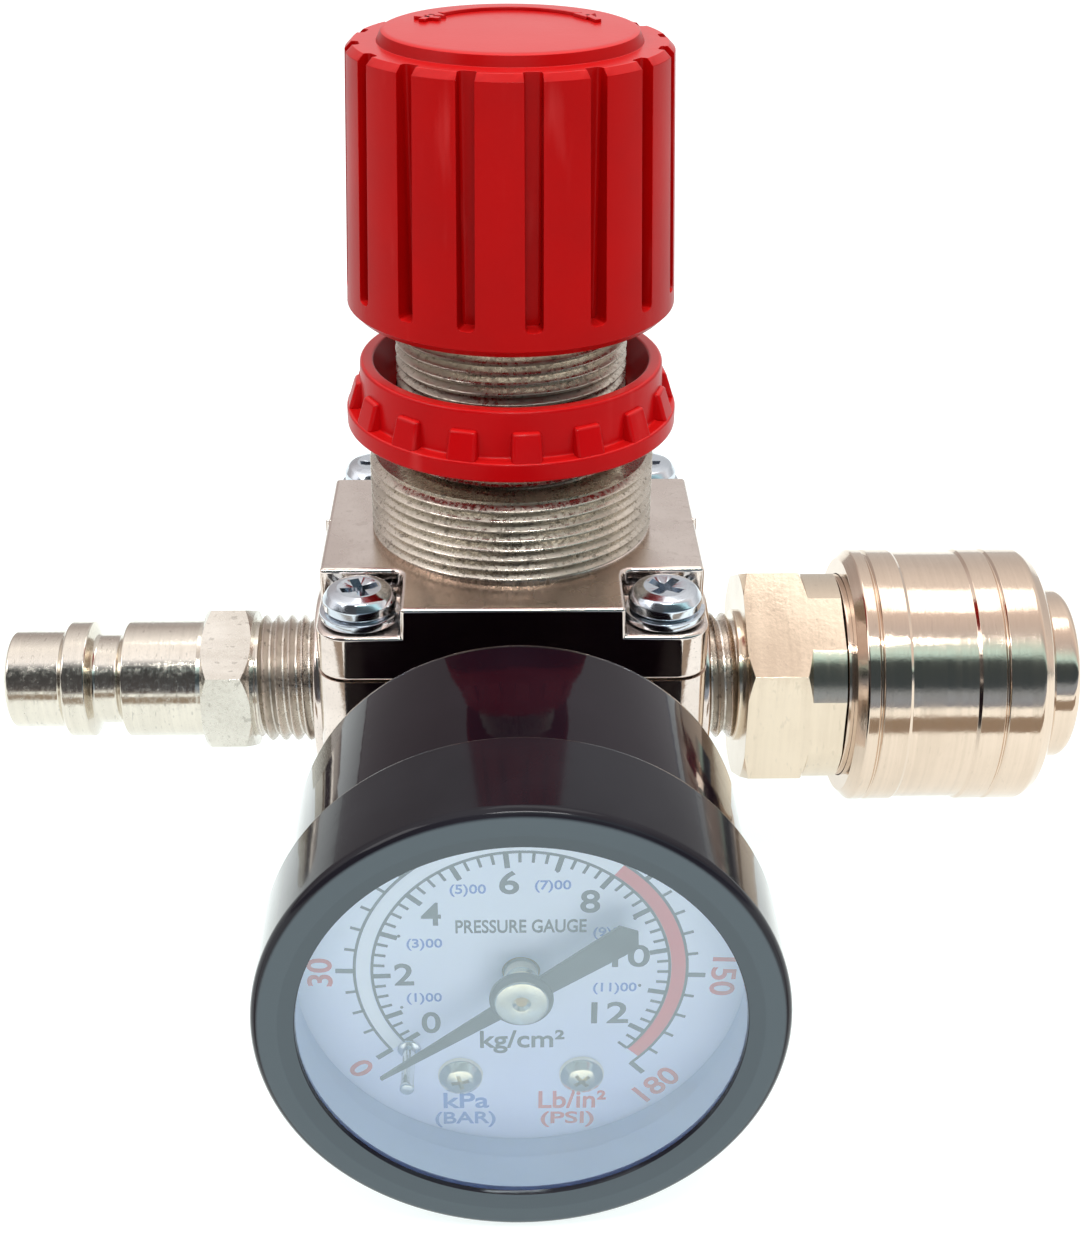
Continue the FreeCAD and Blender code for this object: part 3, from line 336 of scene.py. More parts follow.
def copy_round(piece, count):
    return copies(piece, [turned_by(360 * number / count) for number in range(count)])


def join(name, pieces):
    alone()
    for piece in pieces:
        piece.select_set(True)
    bpy.context.view_layer.objects.active = pieces[0]
    if len(pieces) > 1:
        bpy.ops.object.join()
    pieces[0].name = pieces[0].data.name = name
    return pieces[0]


def soften(piece, width, segments=3, angle=35):
    """Rounds every edge sharper than the angle, as casting or tumbling does."""
    apply_modifier(piece, "BEVEL", width=width, segments=segments, limit_method="ANGLE",
                   angle_limit=math.radians(angle), use_clamp_overlap=True, harden_normals=False)


def settle(piece, seat, body, material, nodes=(), smooth=32):
    """Puts the finished shape in its place in the frame and gives it its finish."""
    piece.data.transform(seat)
    piece.data.materials.clear()
    piece.data.materials.append(material)
    select_only(piece)
    bpy.ops.object.shade_smooth_by_angle(angle=math.radians(smooth))
    apply_modifier(piece, "WEIGHTED_NORMAL", keep_sharp=True, weight=60)
    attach(piece, body)
    if nodes:
        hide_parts(*nodes)
    return piece


def paint_node(material, *nodes):
    """Gives CAD nodes that stay in view, or inside the piece, their material."""
    for node in nodes:
        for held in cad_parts[node].material_slots:
            held.material = material


cast_nickel = plated_metal("cast_nickel", (0.78, 0.68, 0.62), (0.60, 0.51, 0.46), (0.05, 0.14), 0.35,
                           speck=0.5, satin=0.16)

block = box("valve_block", (0, 0, (8 + 31.85) / 2), (2 * FLANGE_HALF, 2 * FLANGE_HALF, 23.85), 3, 8)
boss = spun("boss", [(0, 4), (13, 4, 0.6), (13, 9), (0, 9)], 96, closed=False)
carve(block, boss, "UNION")
arms = spun("arms", [(0, -20), (9.6, -20, 0.5), (9.6, 20, 0.5), (0, 20)], 96, closed=False)
arms.data.transform(Matrix.Translation((0, 0, PORT_HEIGHT)) @ Matrix.Rotation(math.pi / 2, 4, "Y"))
carve(block, arms, "UNION")
for half_turn in (0, 180):
    mouth = spun("mouth", [(0, 10.5), (6.58, 10.5), (6.58, 19.3), (7.3, 20.1), (0, 20.1)], 64, closed=False)
    mouth.data.transform(Matrix.Translation((0, 0, PORT_HEIGHT)) @ turned_by(half_turn)
                         @ Matrix.Rotation(math.pi / 2, 4, "Y"))
    carve(block, mouth)
for side in (-1, 1):
    gauge_port = spun("gauge_port", [(0, 10.5), (4.9, 10.5), (4.9, 17.8), (5.5, 18.5), (0, 18.5)], 64,
                      closed=False)
    gauge_port.data.transform(Matrix.Translation((GAUGE_SHIFT, 0, PORT_HEIGHT))
                              @ Matrix.Rotation(side * math.pi / 2, 4, "X"))
    carve(block, gauge_port)
well = spun("well", [(0, 3), (10.8, 3), (10.8, 5.6), (9, 5.6), (9, 10.5), (0, 10.5)], 96, closed=False)
carve(block, well)
soften(block, 0.45)
settle(block, UPRIGHT, "regulator", cast_nickel, ["valve_body"])

# ---- Bottom plug and rear port plug ------------------------------------------------------------------------
# The bottom plug closes the valve chamber and is turned from bar with two holes for a pin spanner;
# the rear plug is a hollow-hexagon grub screw that shuts the second gauge port.

plug_nickel = plated_metal("plug_nickel", (0.70, 0.65, 0.59), (0.55, 0.50, 0.45), (0.18, 0.34), 0.25,
                           (60, 60, 900), 0.3)
plug = spun("bottom_cap", [(0, 0), (11.4, 0, 0.7), (11.4, 4), (9, 4), (9, 9.8, 0.4), (2.1, 9.8), (2.1, 3.5),
                           (0, 3.5)], 96, closed=False)
for side in (-6.5, 6.5):
    pin_hole = spun("pin_hole", [(0, -1), (1.3, -1), (1.3, 1.6), (0, 2.3)], 32, closed=False)
    pin_hole.data.transform(Matrix.Translation((side, 0, 0)))
    carve(plug, pin_hole)
soften(plug, 0.12)
settle(plug, UPRIGHT, "regulator", plug_nickel, ["bottom_plug"])

blank = spun("rear_blank", [(0, 12.1), (4.26, 12.1), (4.86, 12.7), (4.86, 18), (4.46, 18.4), (0, 18.4)], 64,
             closed=False)
key_hole = primitive("key_hole", "cylinder", vertices=6, radius=2.89, depth=6, location=(0, 0, 17.4))
carve(blank, key_hole)
soften(blank, 0.1)
settle(blank, REAR, "regulator", plug_nickel, ["rear_port_plug"])

# ---- Bonnet ------------------------------------------------------------------------------------------------
# Die-cast and nickel plated, with a raised cross between four screw recesses and a die-parting line over
# the side arms; the panel thread and the thinner neck thread for the knob are cut into it.

SCREW_OFFSET = 14.3
CORNER_FLOOR = 36.65
PANEL_RADIUS, NECK_RADIUS = 13.86, 11.0


def thread(name, radius, pitch, depth, low, high, chamfer=0.5, steps=72):
    """A right-hand screw thread as a closed sleeve of turns around Z, its ends trimmed flat and chamfered."""
    piece = primitive(name, "plane", size=1)
    root = radius - depth
    flank = root + depth * 0.9
    section = [(root, 0), (flank, 0.38 * pitch), (radius, 0.5 * pitch), (flank, 0.62 * pitch), (root, pitch)]
    edit(piece)
    bpy.ops.mesh.select_mode(type="VERT")
    bpy.ops.mesh.merge(type="CENTER")
    base = low - 1.5 * pitch
    bpy.ops.transform.translate(value=(root, 0, base))
    for (first, second) in zip(section, section[1:]):
        bpy.ops.mesh.extrude_region_move(
            TRANSFORM_OT_translate={"value": (second[0] - first[0], 0, second[1] - first[1])})
    bpy.ops.object.mode_set(mode="OBJECT")
    turns = math.ceil((high - low) / pitch) + 3
    apply_modifier(piece, "SCREW", angle=FULL_TURN, screw_offset=pitch, iterations=turns, steps=steps,
                   render_steps=steps, axis="Z", use_merge_vertices=True, merge_threshold=0.0005)
    edit(piece)
    bpy.ops.mesh.remove_doubles(threshold=0.0008)
    for level, way in ((low, -1), (high, 1)):
        bpy.ops.mesh.select_all(action="SELECT")
        bpy.ops.mesh.bisect(plane_co=(0, 0, level), plane_no=(0, 0, way), use_fill=True, clear_outer=True)
    tidy_shell()
    bpy.ops.object.mode_set(mode="OBJECT")
    for vertex in piece.data.vertices:
        here = math.hypot(vertex.co.x, vertex.co.y)
        upper = max(0.0, chamfer - (high - vertex.co.z))
        lower = max(0.0, chamfer - (vertex.co.z - low)) * 0.6
        most = radius - upper - lower
        if here > most:
            vertex.co.x *= most / here
            vertex.co.y *= most / here
    return piece


thread_nickel = plated_metal("thread_nickel", (0.66, 0.59, 0.51), (0.30, 0.26, 0.21), (0.14, 0.34), 0.8,
                             (60, 60, 700), 0.3, sparkle=0.3, speck=0.45)
flange = box("bonnet_flange", (0, 0, 35.775), (2 * FLANGE_HALF, 2 * FLANGE_HALF, 7.65), 3, 8)
for side_x in (-1, 1):
    for side_y in (-1, 1):
        carve(flange, box("pocket", (side_x * 20.4, side_y * 20.4, CORNER_FLOOR + 5), (20, 20, 10), 1.2))
collar = spun("collar", [(0, 36.2), (13.3, 36.2), (13.3, 40.5), (0, 40.5)], 96, closed=False)
carve(flange, collar, "UNION")
soften(flange, 0.5, 4)
bleed = primitive("bleed", "cylinder", vertices=24, radius=0.6, depth=6, location=(0, -FLANGE_HALF, 33.7),
                  rotation=(math.pi / 2, 0, 0))
carve(flange, bleed)
core = spun("neck_core", [(0, 40), (13.1, 40), (13.1, 47.4), (12.6, 47.9), (10.3, 47.9), (10.3, 76),
                          (9.9, 76.5), (9.2, 76.5), (9.2, 60), (0, 60)], 96, closed=False)
flash = box("flash", (0, 0.5, 35.8), (37.3, 0.32, 7.55))
soften(flash, 0.12)
bonnet = join("bonnet_casting", [flange, core, flash])
settle(bonnet, UPRIGHT, "regulator", cast_nickel, ["bonnet"])
panel_thread = thread("panel_thread_turns", PANEL_RADIUS, 1.0, 0.62, 39.4, 47.92)
neck_thread = thread("neck_thread_turns", NECK_RADIUS, 1.0, 0.60, 47.7, 76.3)
threads = join("bonnet_threads", [panel_thread, neck_thread])
settle(threads, UPRIGHT, "regulator", thread_nickel, smooth=45)

# ---- Diaphragm stack, valve and springs inside the block ---------------------------------------------------
# Rubber diaphragm on an aluminium plate, brass relief seat and poppet, and steel springs: all out of sight,
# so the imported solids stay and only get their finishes.


def plain_metal(name, colour, shade, low, high, stretch=(300, 300, 300)):
    material, shader, paint = new_finish(name, {"Metallic": 1.0})
    streaks = grain(paint, 1.0, 3.0, stretch)
    wire(shader, Base_Color=streaks.between(0.3, 0.7).tint(rgb(*colour), rgb(*shade)),
         Roughness=streaks * (high - low) + low, Normal=bumps(paint, streaks, 0.15, 0.00005))
    return material


rubber, rubber_shader, rubber_paint = new_finish("black_rubber", {"Specular IOR Level": 0.35})
dust = grain(rubber_paint, 500)
worn = dust.between(0.3, 0.8)
wire(rubber_shader, Base_Color=worn.tint(rgb(0.012, 0.012, 0.013), rgb(0.035, 0.034, 0.033)),
     Roughness=dust * 0.25 + 0.5, Normal=bumps(rubber_paint, dust, 0.2, 0.00008))
brass = plain_metal("turned_brass", (0.72, 0.52, 0.24), (0.60, 0.41, 0.17), 0.2, 0.38)
spring_wire = plain_metal("spring_wire", (0.50, 0.50, 0.51), (0.38, 0.38, 0.39), 0.2, 0.4)
sheet_aluminium = plain_metal("sheet_aluminium", (0.76, 0.77, 0.78), (0.62, 0.63, 0.64), 0.28, 0.5)
bronze = plain_metal("bronze_tube", (0.62, 0.40, 0.22), (0.50, 0.30, 0.15), 0.25, 0.42)
paint_node(rubber, "diaphragm", "poppet_seal", "bottom_seal", "coupler_valve_seal", "plug_seal",
           "window_gasket")
paint_node(sheet_aluminium, "diaphragm_plate")
paint_node(brass, "relief_seat", "valve_poppet", "coupler_valve")
paint_node(spring_wire, "poppet_spring", "range_spring", "spring_seat", "sleeve_spring",
           "coupler_valve_spring", "sleeve_stop_ring")
for number in range(1, 7):
    paint_node(spring_wire, "locking_ball_%d" % number)

# ---- Bonnet screws -----------------------------------------------------------------------------------------
# Four bluish zinc-plated pan-head screws with a cross recess, each over a split spring washer.

zinc = plated_metal("bright_zinc", (0.70, 0.74, 0.79), (0.48, 0.52, 0.58), (0.10, 0.24), 0.35, speck=0.25)
UNDER_HEAD = CORNER_FLOOR + 1.0


def cross_tool(level, reach, width, depth):
    """Two tapered blades that sink a cross recess into a screw head."""
    blades = []
    for turn in (0, 90):
        blade = box("blade", (0, 0, level - depth / 2 + 0.5), (2 * reach, width, depth + 1))
        edit(blade, lambda middle, way: way.z < -0.9)
        bpy.ops.transform.resize(value=(0.45, 0.6, 1))
        bpy.ops.object.mode_set(mode="OBJECT")
        blade.data.transform(turned_by(turn))
        blades.append(blade)
    carve(blades[0], blades[1], "UNION")
    return blades[0]


head = spun("pan_head", [(0, 27), (2, 27), (2, UNDER_HEAD), (3.1, UNDER_HEAD), (3.45, UNDER_HEAD + 0.3, 0.2),
                         (3.45, UNDER_HEAD + 1.1, 0.5), (2.95, UNDER_HEAD + 1.9, 0.6),
                         (2.1, UNDER_HEAD + 2.15, 0.4), (0, UNDER_HEAD + 1.9)], 64, closed=False)
carve(head, cross_tool(UNDER_HEAD + 2.2, 2.25, 1.05, 1.8))
soften(head, 0.07, 2)
split_end = math.radians(-35)
washer_top = CORNER_FLOOR + 0.75
washer = spun("spring_washer_coil", [(2.2, CORNER_FLOOR), (3.8, CORNER_FLOOR), (3.8, washer_top),
                                     (2.2, washer_top)], 60, start=split_end, sweep=math.radians(349))
soften(washer, 0.12, 2)
for vertex in washer.data.vertices:
    turned = (math.atan2(vertex.co.y, vertex.co.x) - split_end) % FULL_TURN
    vertex.co.z += 0.28 * turned / FULL_TURN
screw_spots = [Matrix.Translation((side_x * SCREW_OFFSET, side_y * SCREW_OFFSET, 0)) @ turned_by(turn)
               for side_x, side_y, turn in ((-1, -1, 20), (1, -1, 52), (1, 1, 75), (-1, 1, 8))]
settle(join("pan_head_screws", copies(head, screw_spots)), UPRIGHT, "regulator", zinc,
       ["bonnet_screws"])
settle(join("split_washers", copies(washer, screw_spots)), UPRIGHT, "regulator", zinc,
       ["spring_washers"])

# ---- Knob --------------------------------------------------------------------------------------------------
# Injection-moulded red cap with sixteen grip grooves, screwed on the neck; a raised disc on top carries
# a curved arrow with plus and minus marks.

KNOB_SPIN = 7.3
MARK_LEVEL, MARK_RADIUS = 87.3, 7.9


def red_plastic(name, colour, shade, rough, frost=0.0):
    material, shader, paint = new_finish(name, {"Specular IOR Level": 0.06, "Coat Roughness": 0.2})
    upward = facing(paint, "Z")
    cloud = grain(paint, 90)
    skin = grain(paint, 1500, 2.0)
    scuffs = grain(paint, 1.0, 3.0, (260, 260, 40)).between(0.62, 0.78)
    base = cloud.between(0.3, 0.75).tint(rgb(*colour), rgb(*shade))
    # Painted highlight: what faces up is painted a lighter red, standing in for the light that falls on the
    # tops.
    base = (upward.between(0.5, 0.95) * 0.8).tint(base, rgb(0.62, 0.008, 0.008))
    if frost:
        base = (scuffs * frost).tint(base, rgb(0.75, 0.16, 0.15))
    wire(shader, Base_Color=base, Roughness=cloud * (rough[1] - rough[0]) + rough[0] + scuffs * 0.12,
         Coat_Weight=upward.between(0.35, 0.95) * 0.5 + cloud.between(0.2, 0.8) * 0.03,
         Normal=bumps(paint, skin * 0.6 + cloud * 0.8, 0.12, 0.0001))
    return material


knob_red = red_plastic("knob_red", (0.30, 0.001, 0.0012), (0.26, 0.0008, 0.001), (0.26, 0.40), 0.1)
cap = spun("knob_cap", [(11.06, 62.45), (14.6, 62.45), (15.3, 63.15), (14.47, 85.8), (13.87, 86.4),
                        (11.74, 86.4), (11.34, 87.3), (10.9, 87.45), (0, 87.45), (0, 80), (11.06, 80)], 128,
           closed=False)
cap.data.transform(turned_by(180 / 128))
edit(cap)
tidy_shell()
bpy.ops.object.mode_set(mode="OBJECT")
groove = box("groove", (15.75, 0, 79.8), (5, 1.6, 30))
edit(groove, lambda middle, way: abs(middle.x - 13.25) < 0.1 and abs(way.z) > 0.9, "EDGE")
bpy.ops.mesh.bevel(offset=0.35, segments=3, affect="EDGES")
edit(groove, lambda middle, way: middle.z < 65 and abs(way.x) > 0.9, "EDGE")
bpy.ops.mesh.bevel(offset=0.5, segments=4, affect="EDGES")
bpy.ops.object.mode_set(mode="OBJECT")
carve(cap, join("grooves", copy_round(groove, 16)))
soften(cap, 0.22, 3, 30)
cap.data.transform(turned_by(KNOB_SPIN))
settle(cap, UPRIGHT, "knob_body", knob_red, ["knob"])

on_mark_circle = Matrix.Translation((MARK_RADIUS, 0, 0))
marks = [spun("arc", [(MARK_RADIUS - 0.45, MARK_LEVEL), (MARK_RADIUS + 0.45, MARK_LEVEL),
                      (MARK_RADIUS + 0.35, MARK_LEVEL + 0.45), (MARK_RADIUS - 0.35, MARK_LEVEL + 0.45)], 40,
              start=math.radians(38), sweep=math.radians(104))]
for end, way in ((32, -90), (148, 90)):
    barb = primitive("barb", "cone", vertices=3, radius1=1.35, radius2=1.15, depth=0.45,
                     location=(0, 0, MARK_LEVEL + 0.225))
    barb.data.transform(turned_by(end) @ on_mark_circle @ turned_by(way))
    marks.append(barb)
for angle, way in ((158, 90), (158, 180), (22, 90)):
    bar = box("bar", (0, 0, MARK_LEVEL + 0.2), (2.4, 0.65, 0.5))
    bar.data.transform(turned_by(angle) @ on_mark_circle @ turned_by(way))
    marks.append(bar)
relief = join("knob_marks", marks)
soften(relief, 0.08, 2)
settle(relief, UPRIGHT, "knob_body", knob_red)

# ---- Lock ring ---------------------------------------------------------------------------------------------
# Red moulded ring nut on the same neck thread, with a flange and sixteen finger teeth around it.

ring = spun("ring_nut", [(11.06, 50.97), (15.81, 50.97, 0.3), (15.81, 52.83, 0.25), (14.55, 52.83, 0.3),
                         (14.4, 57.28, 0.35), (13.2, 57.28, 0.3), (11.86, 55.1), (11.06, 54.5)], 128)
tooth = box("tooth", (14.5, 0, 54.0), (2.5, 2.85, 2.8))
edit(tooth, lambda middle, way: way.z > 0.9)
bpy.ops.transform.resize(value=(0.62, 0.92, 1))
bpy.ops.transform.translate(value=(-0.42, 0, 0))
bpy.ops.object.mode_set(mode="OBJECT")
soften(tooth, 0.35, 3)
lock_ring = join("lock_ring_nut", [ring] + copy_round(tooth, 16))
lock_ring.data.transform(turned_by(5))
ring_red = red_plastic("ring_red", (0.34, 0.0015, 0.0025), (0.30, 0.001, 0.002), (0.24, 0.36), 0.1)
settle(lock_ring, UPRIGHT, "lock_ring_body", ring_red, ["lock_ring"])

# ---- Inlet plug --------------------------------------------------------------------------------------------
# European 7.2 mm profile plug turned from one nickel-plated bar: threaded stub, hexagon with worn flats,
# shank, locking groove and sealing tip. Heights here are distances from the knob axis.


def hexagon(name, across, low, high, spin, bore, corner=0.75, slope=0.5):
    """A spanner hexagon: a six-sided prism whose corners are turned off at both ends."""
    reach = across / math.sqrt(3)
    inner = reach - corner
    outer = reach + 0.1
    middle = (0, 0, (low + high) / 2)
    prism = primitive(name, "cylinder", vertices=6, radius=reach, depth=high - low, location=middle)
    prism.data.transform(turned_by(spin))
    turned_off = spun("turned_off", [(0, low - 1), (inner, low - 1), (inner, low + 0.02),
                                     (outer, low + slope), (outer, high - slope), (inner, high - 0.02),
                                     (inner, high + 1), (0, high + 1)], 96, closed=False)
    carve(prism, turned_off, "INTERSECT")
    hole = primitive("hole", "cylinder", vertices=64, radius=bore, depth=high - low + 2, location=middle)
    carve(prism, hole)
    soften(prism, 0.12, 2, 25)
    return prism


shank_nickel = plated_metal("shank_nickel", (0.74, 0.68, 0.59), (0.60, 0.55, 0.48), (0.08, 0.18), 0.25,
                            (1500, 60, 60), 0.25, sparkle=0.12, speck=0.2)
worn_nickel = plated_metal("worn_nickel", (0.74, 0.70, 0.63), (0.52, 0.48, 0.42), (0.12, 0.26), 0.35,
                           (120, 700, 60), 0.3, sparkle=0.1, speck=0.25)
stub_nickel = plated_metal("stub_nickel", (0.72, 0.66, 0.60), (0.45, 0.40, 0.34), (0.16, 0.36), 0.5,
                           (700, 60, 60), 0.3, sparkle=0.2, speck=0.4)
shank = spun("plug_shank", [(3.6, 26), (6.0, 26), (6.0, 26.7), (5.9, 31.4), (6, 32.2, 0.25), (6, 39.8, 0.25),
                            (4.6, 40.5, 0.5), (4.6, 43, 0.5), (6, 43.5, 0.2), (6, 45.8, 0.35), (5, 46.4, 0.2),
                            (5, 51.6, 0.35), (4.5, 51.9, 0.2), (3.9, 51.9, 0.1), (3.6, 51.5)], 112)
settle(shank, INLET, "regulator", shank_nickel, ["plug_nipple"])
settle(hexagon("plug_hexagon", 14.0, 26.6, 31.6, 29.4, 5.0, 1.0, 0.85), INLET, "regulator",
       worn_nickel, smooth=15)
PIPE_RADIUS, PIPE_PITCH, PIPE_DEPTH = 6.58, 1.337, 0.80
stub = thread("stub", PIPE_RADIUS, PIPE_PITCH, PIPE_DEPTH, 12.2, 26.3)
stub_core = spun("stub_core", [(3.6, 12), (5.5, 12), (5.9, 12.4), (5.9, 26.7), (3.6, 26.7)], 64)
settle(join("plug_thread", [stub, stub_core]), INLET, "regulator", stub_nickel, smooth=45)

# ---- Outlet coupler ----------------------------------------------------------------------------------------
# One-hand quick coupler: screwed hexagon adapter, barrel with a rolled mouth, and a spring-loaded sleeve
# that slides back to free six balls. All turned and nickel plated, with fine tool lines around it.

coupler_nickel = plated_metal("coupler_nickel", (0.73, 0.585, 0.47), (0.62, 0.49, 0.385), (0.08, 0.17), 0.1,
                              (1800, 30, 30), 0.16, speck=0.06)
coupler_hex_nickel = plated_metal("coupler_hex_nickel", (0.74, 0.62, 0.49), (0.66, 0.54, 0.42), (0.10, 0.22),
                                  0.15, (900, 40, 40), 0.2, speck=0.08)
adapter_hex = hexagon("adapter_hexagon", 21.0, 23.5, 33.4, 30.6, 5.6, 1.1, 0.6)
turned_down = spun("turned_down", [(0, 22), (12.3, 22), (12.3, 29.2), (10.93, 30.0), (10.93, 34), (0, 34)],
                   96, closed=False)
carve(adapter_hex, turned_down, "INTERSECT")
settle(adapter_hex, OUTLET, "regulator", coupler_hex_nickel, ["coupler_adapter"], smooth=15)
adapter = spun("adapter_collar", [(4, 23), (6.9, 23, 0.2), (6.9, 23.6), (5.5, 23.6), (5.5, 24), (4, 24)], 96)
settle(adapter, OUTLET, "regulator", coupler_hex_nickel)
outlet_stub = thread("outlet_stub", PIPE_RADIUS, PIPE_PITCH, PIPE_DEPTH, 12.2, 23.4)
outlet_core = spun("outlet_core", [(4, 12), (5.5, 12), (5.9, 12.4), (5.9, 23.6), (4, 23.6)], 64)
settle(join("adapter_thread", [outlet_stub, outlet_core]), OUTLET, "regulator", stub_nickel,
       smooth=45)

barrel = spun("coupler_barrel_shell", [
    (6.9, 33.6), (10.6, 33.6, 0.1), (10.6, 36.3), (8.8, 36.3), (8.8, 52.2), (8.3, 52.2), (8.3, 53), (8.8, 53),
    (8.8, 57.7, 0.9), (6.9, 57.7, 0.2), (6.1, 56.9), (6.1, 45.4), (5.1, 44.8), (5.1, 43.8), (6.6, 43.8),
    (6.6, 42), (5.1, 42), (5.1, 38.2), (6.9, 38.2)], 128)
seat_hole = spun("seat_hole", [(0, 5.5), (1.8, 5.5), (1.8, 9.8), (0, 9.8)], 24, closed=False)
seat_hole.data.transform(Matrix.Translation((0, 0, 49.6)) @ Matrix.Rotation(math.pi / 2, 4, "Y"))
carve(barrel, join("seat_holes", copy_round(seat_hole, 6)))
settle(barrel, OUTLET, "regulator", coupler_nickel, ["coupler_barrel"])

sleeve = spun("coupler_sleeve_shell", [
    (10.68, 34.2), (12.2, 34.2, 0.1), (13.15, 35.15, 0.4), (13.15, 36.25, 0.08), (12.85, 36.5, 0.1),
    (13.15, 36.75, 0.08), (13.15, 39.3, 0.1), (12.92, 39.6, 0.1), (12.92, 46.1, 0.1), (13.15, 46.4, 0.1),
    (13.15, 48.75, 0.08),
    (12.85, 49, 0.1), (13.15, 49.25, 0.08), (13.15, 52.6, 0.8), (12.35, 53.7, 0.6), (11.2, 54.3, 0.4),
    (10.5, 54.4, 0.1), (10.1, 54.4), (8.88, 49), (8.88, 46.9), (10.68, 46.9)], 144)
settle(sleeve, OUTLET, "sleeve_body", coupler_nickel, ["coupler_sleeve"])

# ---- Gauge socket and case ---------------------------------------------------------------------------------
# A brass socket with a small hexagon screws into the front port. The drawn steel case and the bezel
# rolled over its front edge are stoved in glossy black; two screws hold the case to the socket.
# Heights here are distances forward of the knob axis.

socket_metal = plated_metal("socket_metal", (0.66, 0.58, 0.46), (0.48, 0.41, 0.32), (0.22, 0.40), 0.35,
                            (60, 700, 60), 0.3)
stem = spun("gauge_stem_shaft", [(1.2, 11.5), (4.3, 11.5), (4.86, 12.1), (4.86, 20), (5.6, 20), (5.6, 27.1),
                                 (4.5, 27.1), (4.5, 29), (1.2, 29)], 72)
stem_hex = hexagon("stem_hex", 12.0, 20, 26, 0, 5.0)
stem_block = box("stem_block", (0, -6, 31.45), (10, 22, 7.1))
stem_foot = box("stem_foot", (0, -14.5, 38.75), (10, 5, 8.5))
soften(stem_block, 0.2)
soften(stem_foot, 0.2)
settle(join("gauge_socket", [stem, stem_hex, stem_block, stem_foot]), GAUGE, "regulator",
       socket_metal, ["gauge_stem"])


def black_enamel(name, colour, shade, rough, coat, face=None):
    """Stoved enamel: near black, a slight orange peel and dull dust; face is the colour of its flat front."""
    material, shader, paint = new_finish(name, {"Specular IOR Level": 0.16, "Coat Roughness": 0.04})
    peel = grain(paint, 420, 2.0)
    cloud = grain(paint, 70)
    dust = grain(paint, 2600, 1.0).between(0.66, 0.74)
    base = cloud.between(0.3, 0.75).tint(rgb(*colour), rgb(*shade))
    roughness = cloud * (rough[1] - rough[0]) + rough[0] + dust * 0.12
    if face:
        flat = (-1 * facing(paint, "Y")).between(0.86, 0.99)
        base = flat.tint(base, rgb(*face))
        roughness = roughness + flat * 0.22
    rim = paint.node("LayerWeight", {"Blend": 0.5}, output="Facing")
    wire(shader, Base_Color=base, Roughness=roughness, Coat_Weight=rim.between(0.55, 0.9) * 0.8 + coat,
         Normal=bumps(paint, peel, 0.08, 0.0001))
    return material


case_black = black_enamel("case_black", (0.006, 0.003, 0.006), (0.010, 0.006, 0.010), (0.03, 0.09), 0.02)
bezel_black = black_enamel("bezel_black", (0.008, 0.007, 0.010), (0.014, 0.013, 0.017), (0.08, 0.18), 0.05,
                           (0.066, 0.082, 0.092))
case = spun("gauge_case_shell", [(4.6, 27.1), (20, 27.1, 1.6), (20, 52.5, 0.1), (19.2, 52.5),
                                 (19.2, 27.9, 0.8), (4.6, 27.9)], 144)
settle(case, GAUGE, "regulator", case_black, ["gauge_case"])
bezel = spun("gauge_bezel_ring", [(20.02, 44.4), (21.0, 44.4, 0.1), (21.36, 44.9, 0.5), (21.36, 54.87, 0.95),
                                  (19.2, 54.87, 0.6), (17.85, 54.5, 0.1), (17.8, 54.1), (20.02, 54.1)], 160)
settle(bezel, GAUGE, "regulator", bezel_black, ["gauge_bezel"])
case_screw = spun("case_screw", [(0, 26.0), (0.9, 26.0, 0.3), (1.7, 26.7, 0.3), (1.7, 27.1), (0.9, 27.1),
                                 (0.9, 31.6), (0, 31.6)], 40, closed=False)
carve(case_screw, box("screw_slot", (0, 0, 25.9), (0.5, 4, 1.0)))
pair = copies(case_screw, [Matrix.Translation((side, -12.5, 0)) for side in (-3.2, 3.2)])
settle(join("case_screw_pair", pair), GAUGE, "regulator", zinc, ["case_screws"])

# ---- Window ------------------------------------------------------------------------------------------------
# Flat pane of clear acrylic pressed against a gasket behind the bezel.

pane_material, pane_shader, pane_paint = new_finish("clear_pane", {"Metallic": 1.0, "Roughness": 0.03,
                                                                   "Base Color": rgb(0.80, 0.93, 1.0)})
mirror = pane_paint.node("Fresnel", {"IOR": 1.49}, output="Fac")
smear = grain(pane_paint, 110).between(0.35, 0.7)
wire(pane_shader, Alpha=mirror * 5.6 + smear * 0.02, Roughness=smear * 0.05 + 0.06)
pane = spun("window_pane", [(0, 53.1), (19.9, 53.1), (19.9, 54.05), (0, 54.05)], 128, closed=False)
edit(pane, lambda middle, way: way.z < 0.5)
bpy.ops.mesh.delete(type="FACE")
bpy.ops.object.mode_set(mode="OBJECT")
settle(pane, GAUGE, "regulator", pane_material, ["gauge_window"])

# ---- Dial --------------------------------------------------------------------------------------------------
# White-enamelled aluminium disc on two brass posts, screen-printed with a pressure scale in two units.
# The print is modelled as thin films of ink; two brass screws hold the disc down.

DIAL_FACE = 47.4
INK = 0.03
FIRST_MARK, RED_START = 217.0, 53.0
MAIN_TICK, FINE_TICK = 0.44, 0.25


def enamel(name, colour, shade, rough, scale=60):
    material, shader, paint = new_finish(name, {"Specular IOR Level": 0.4})
    cloud = grain(paint, scale)
    wire(shader, Base_Color=cloud.between(0.25, 0.75).tint(rgb(*colour), rgb(*shade)),
         Roughness=cloud * 0.15 + rough, Normal=bumps(paint, grain(paint, 1400, 1.0), 0.05, 0.00005))
    return material


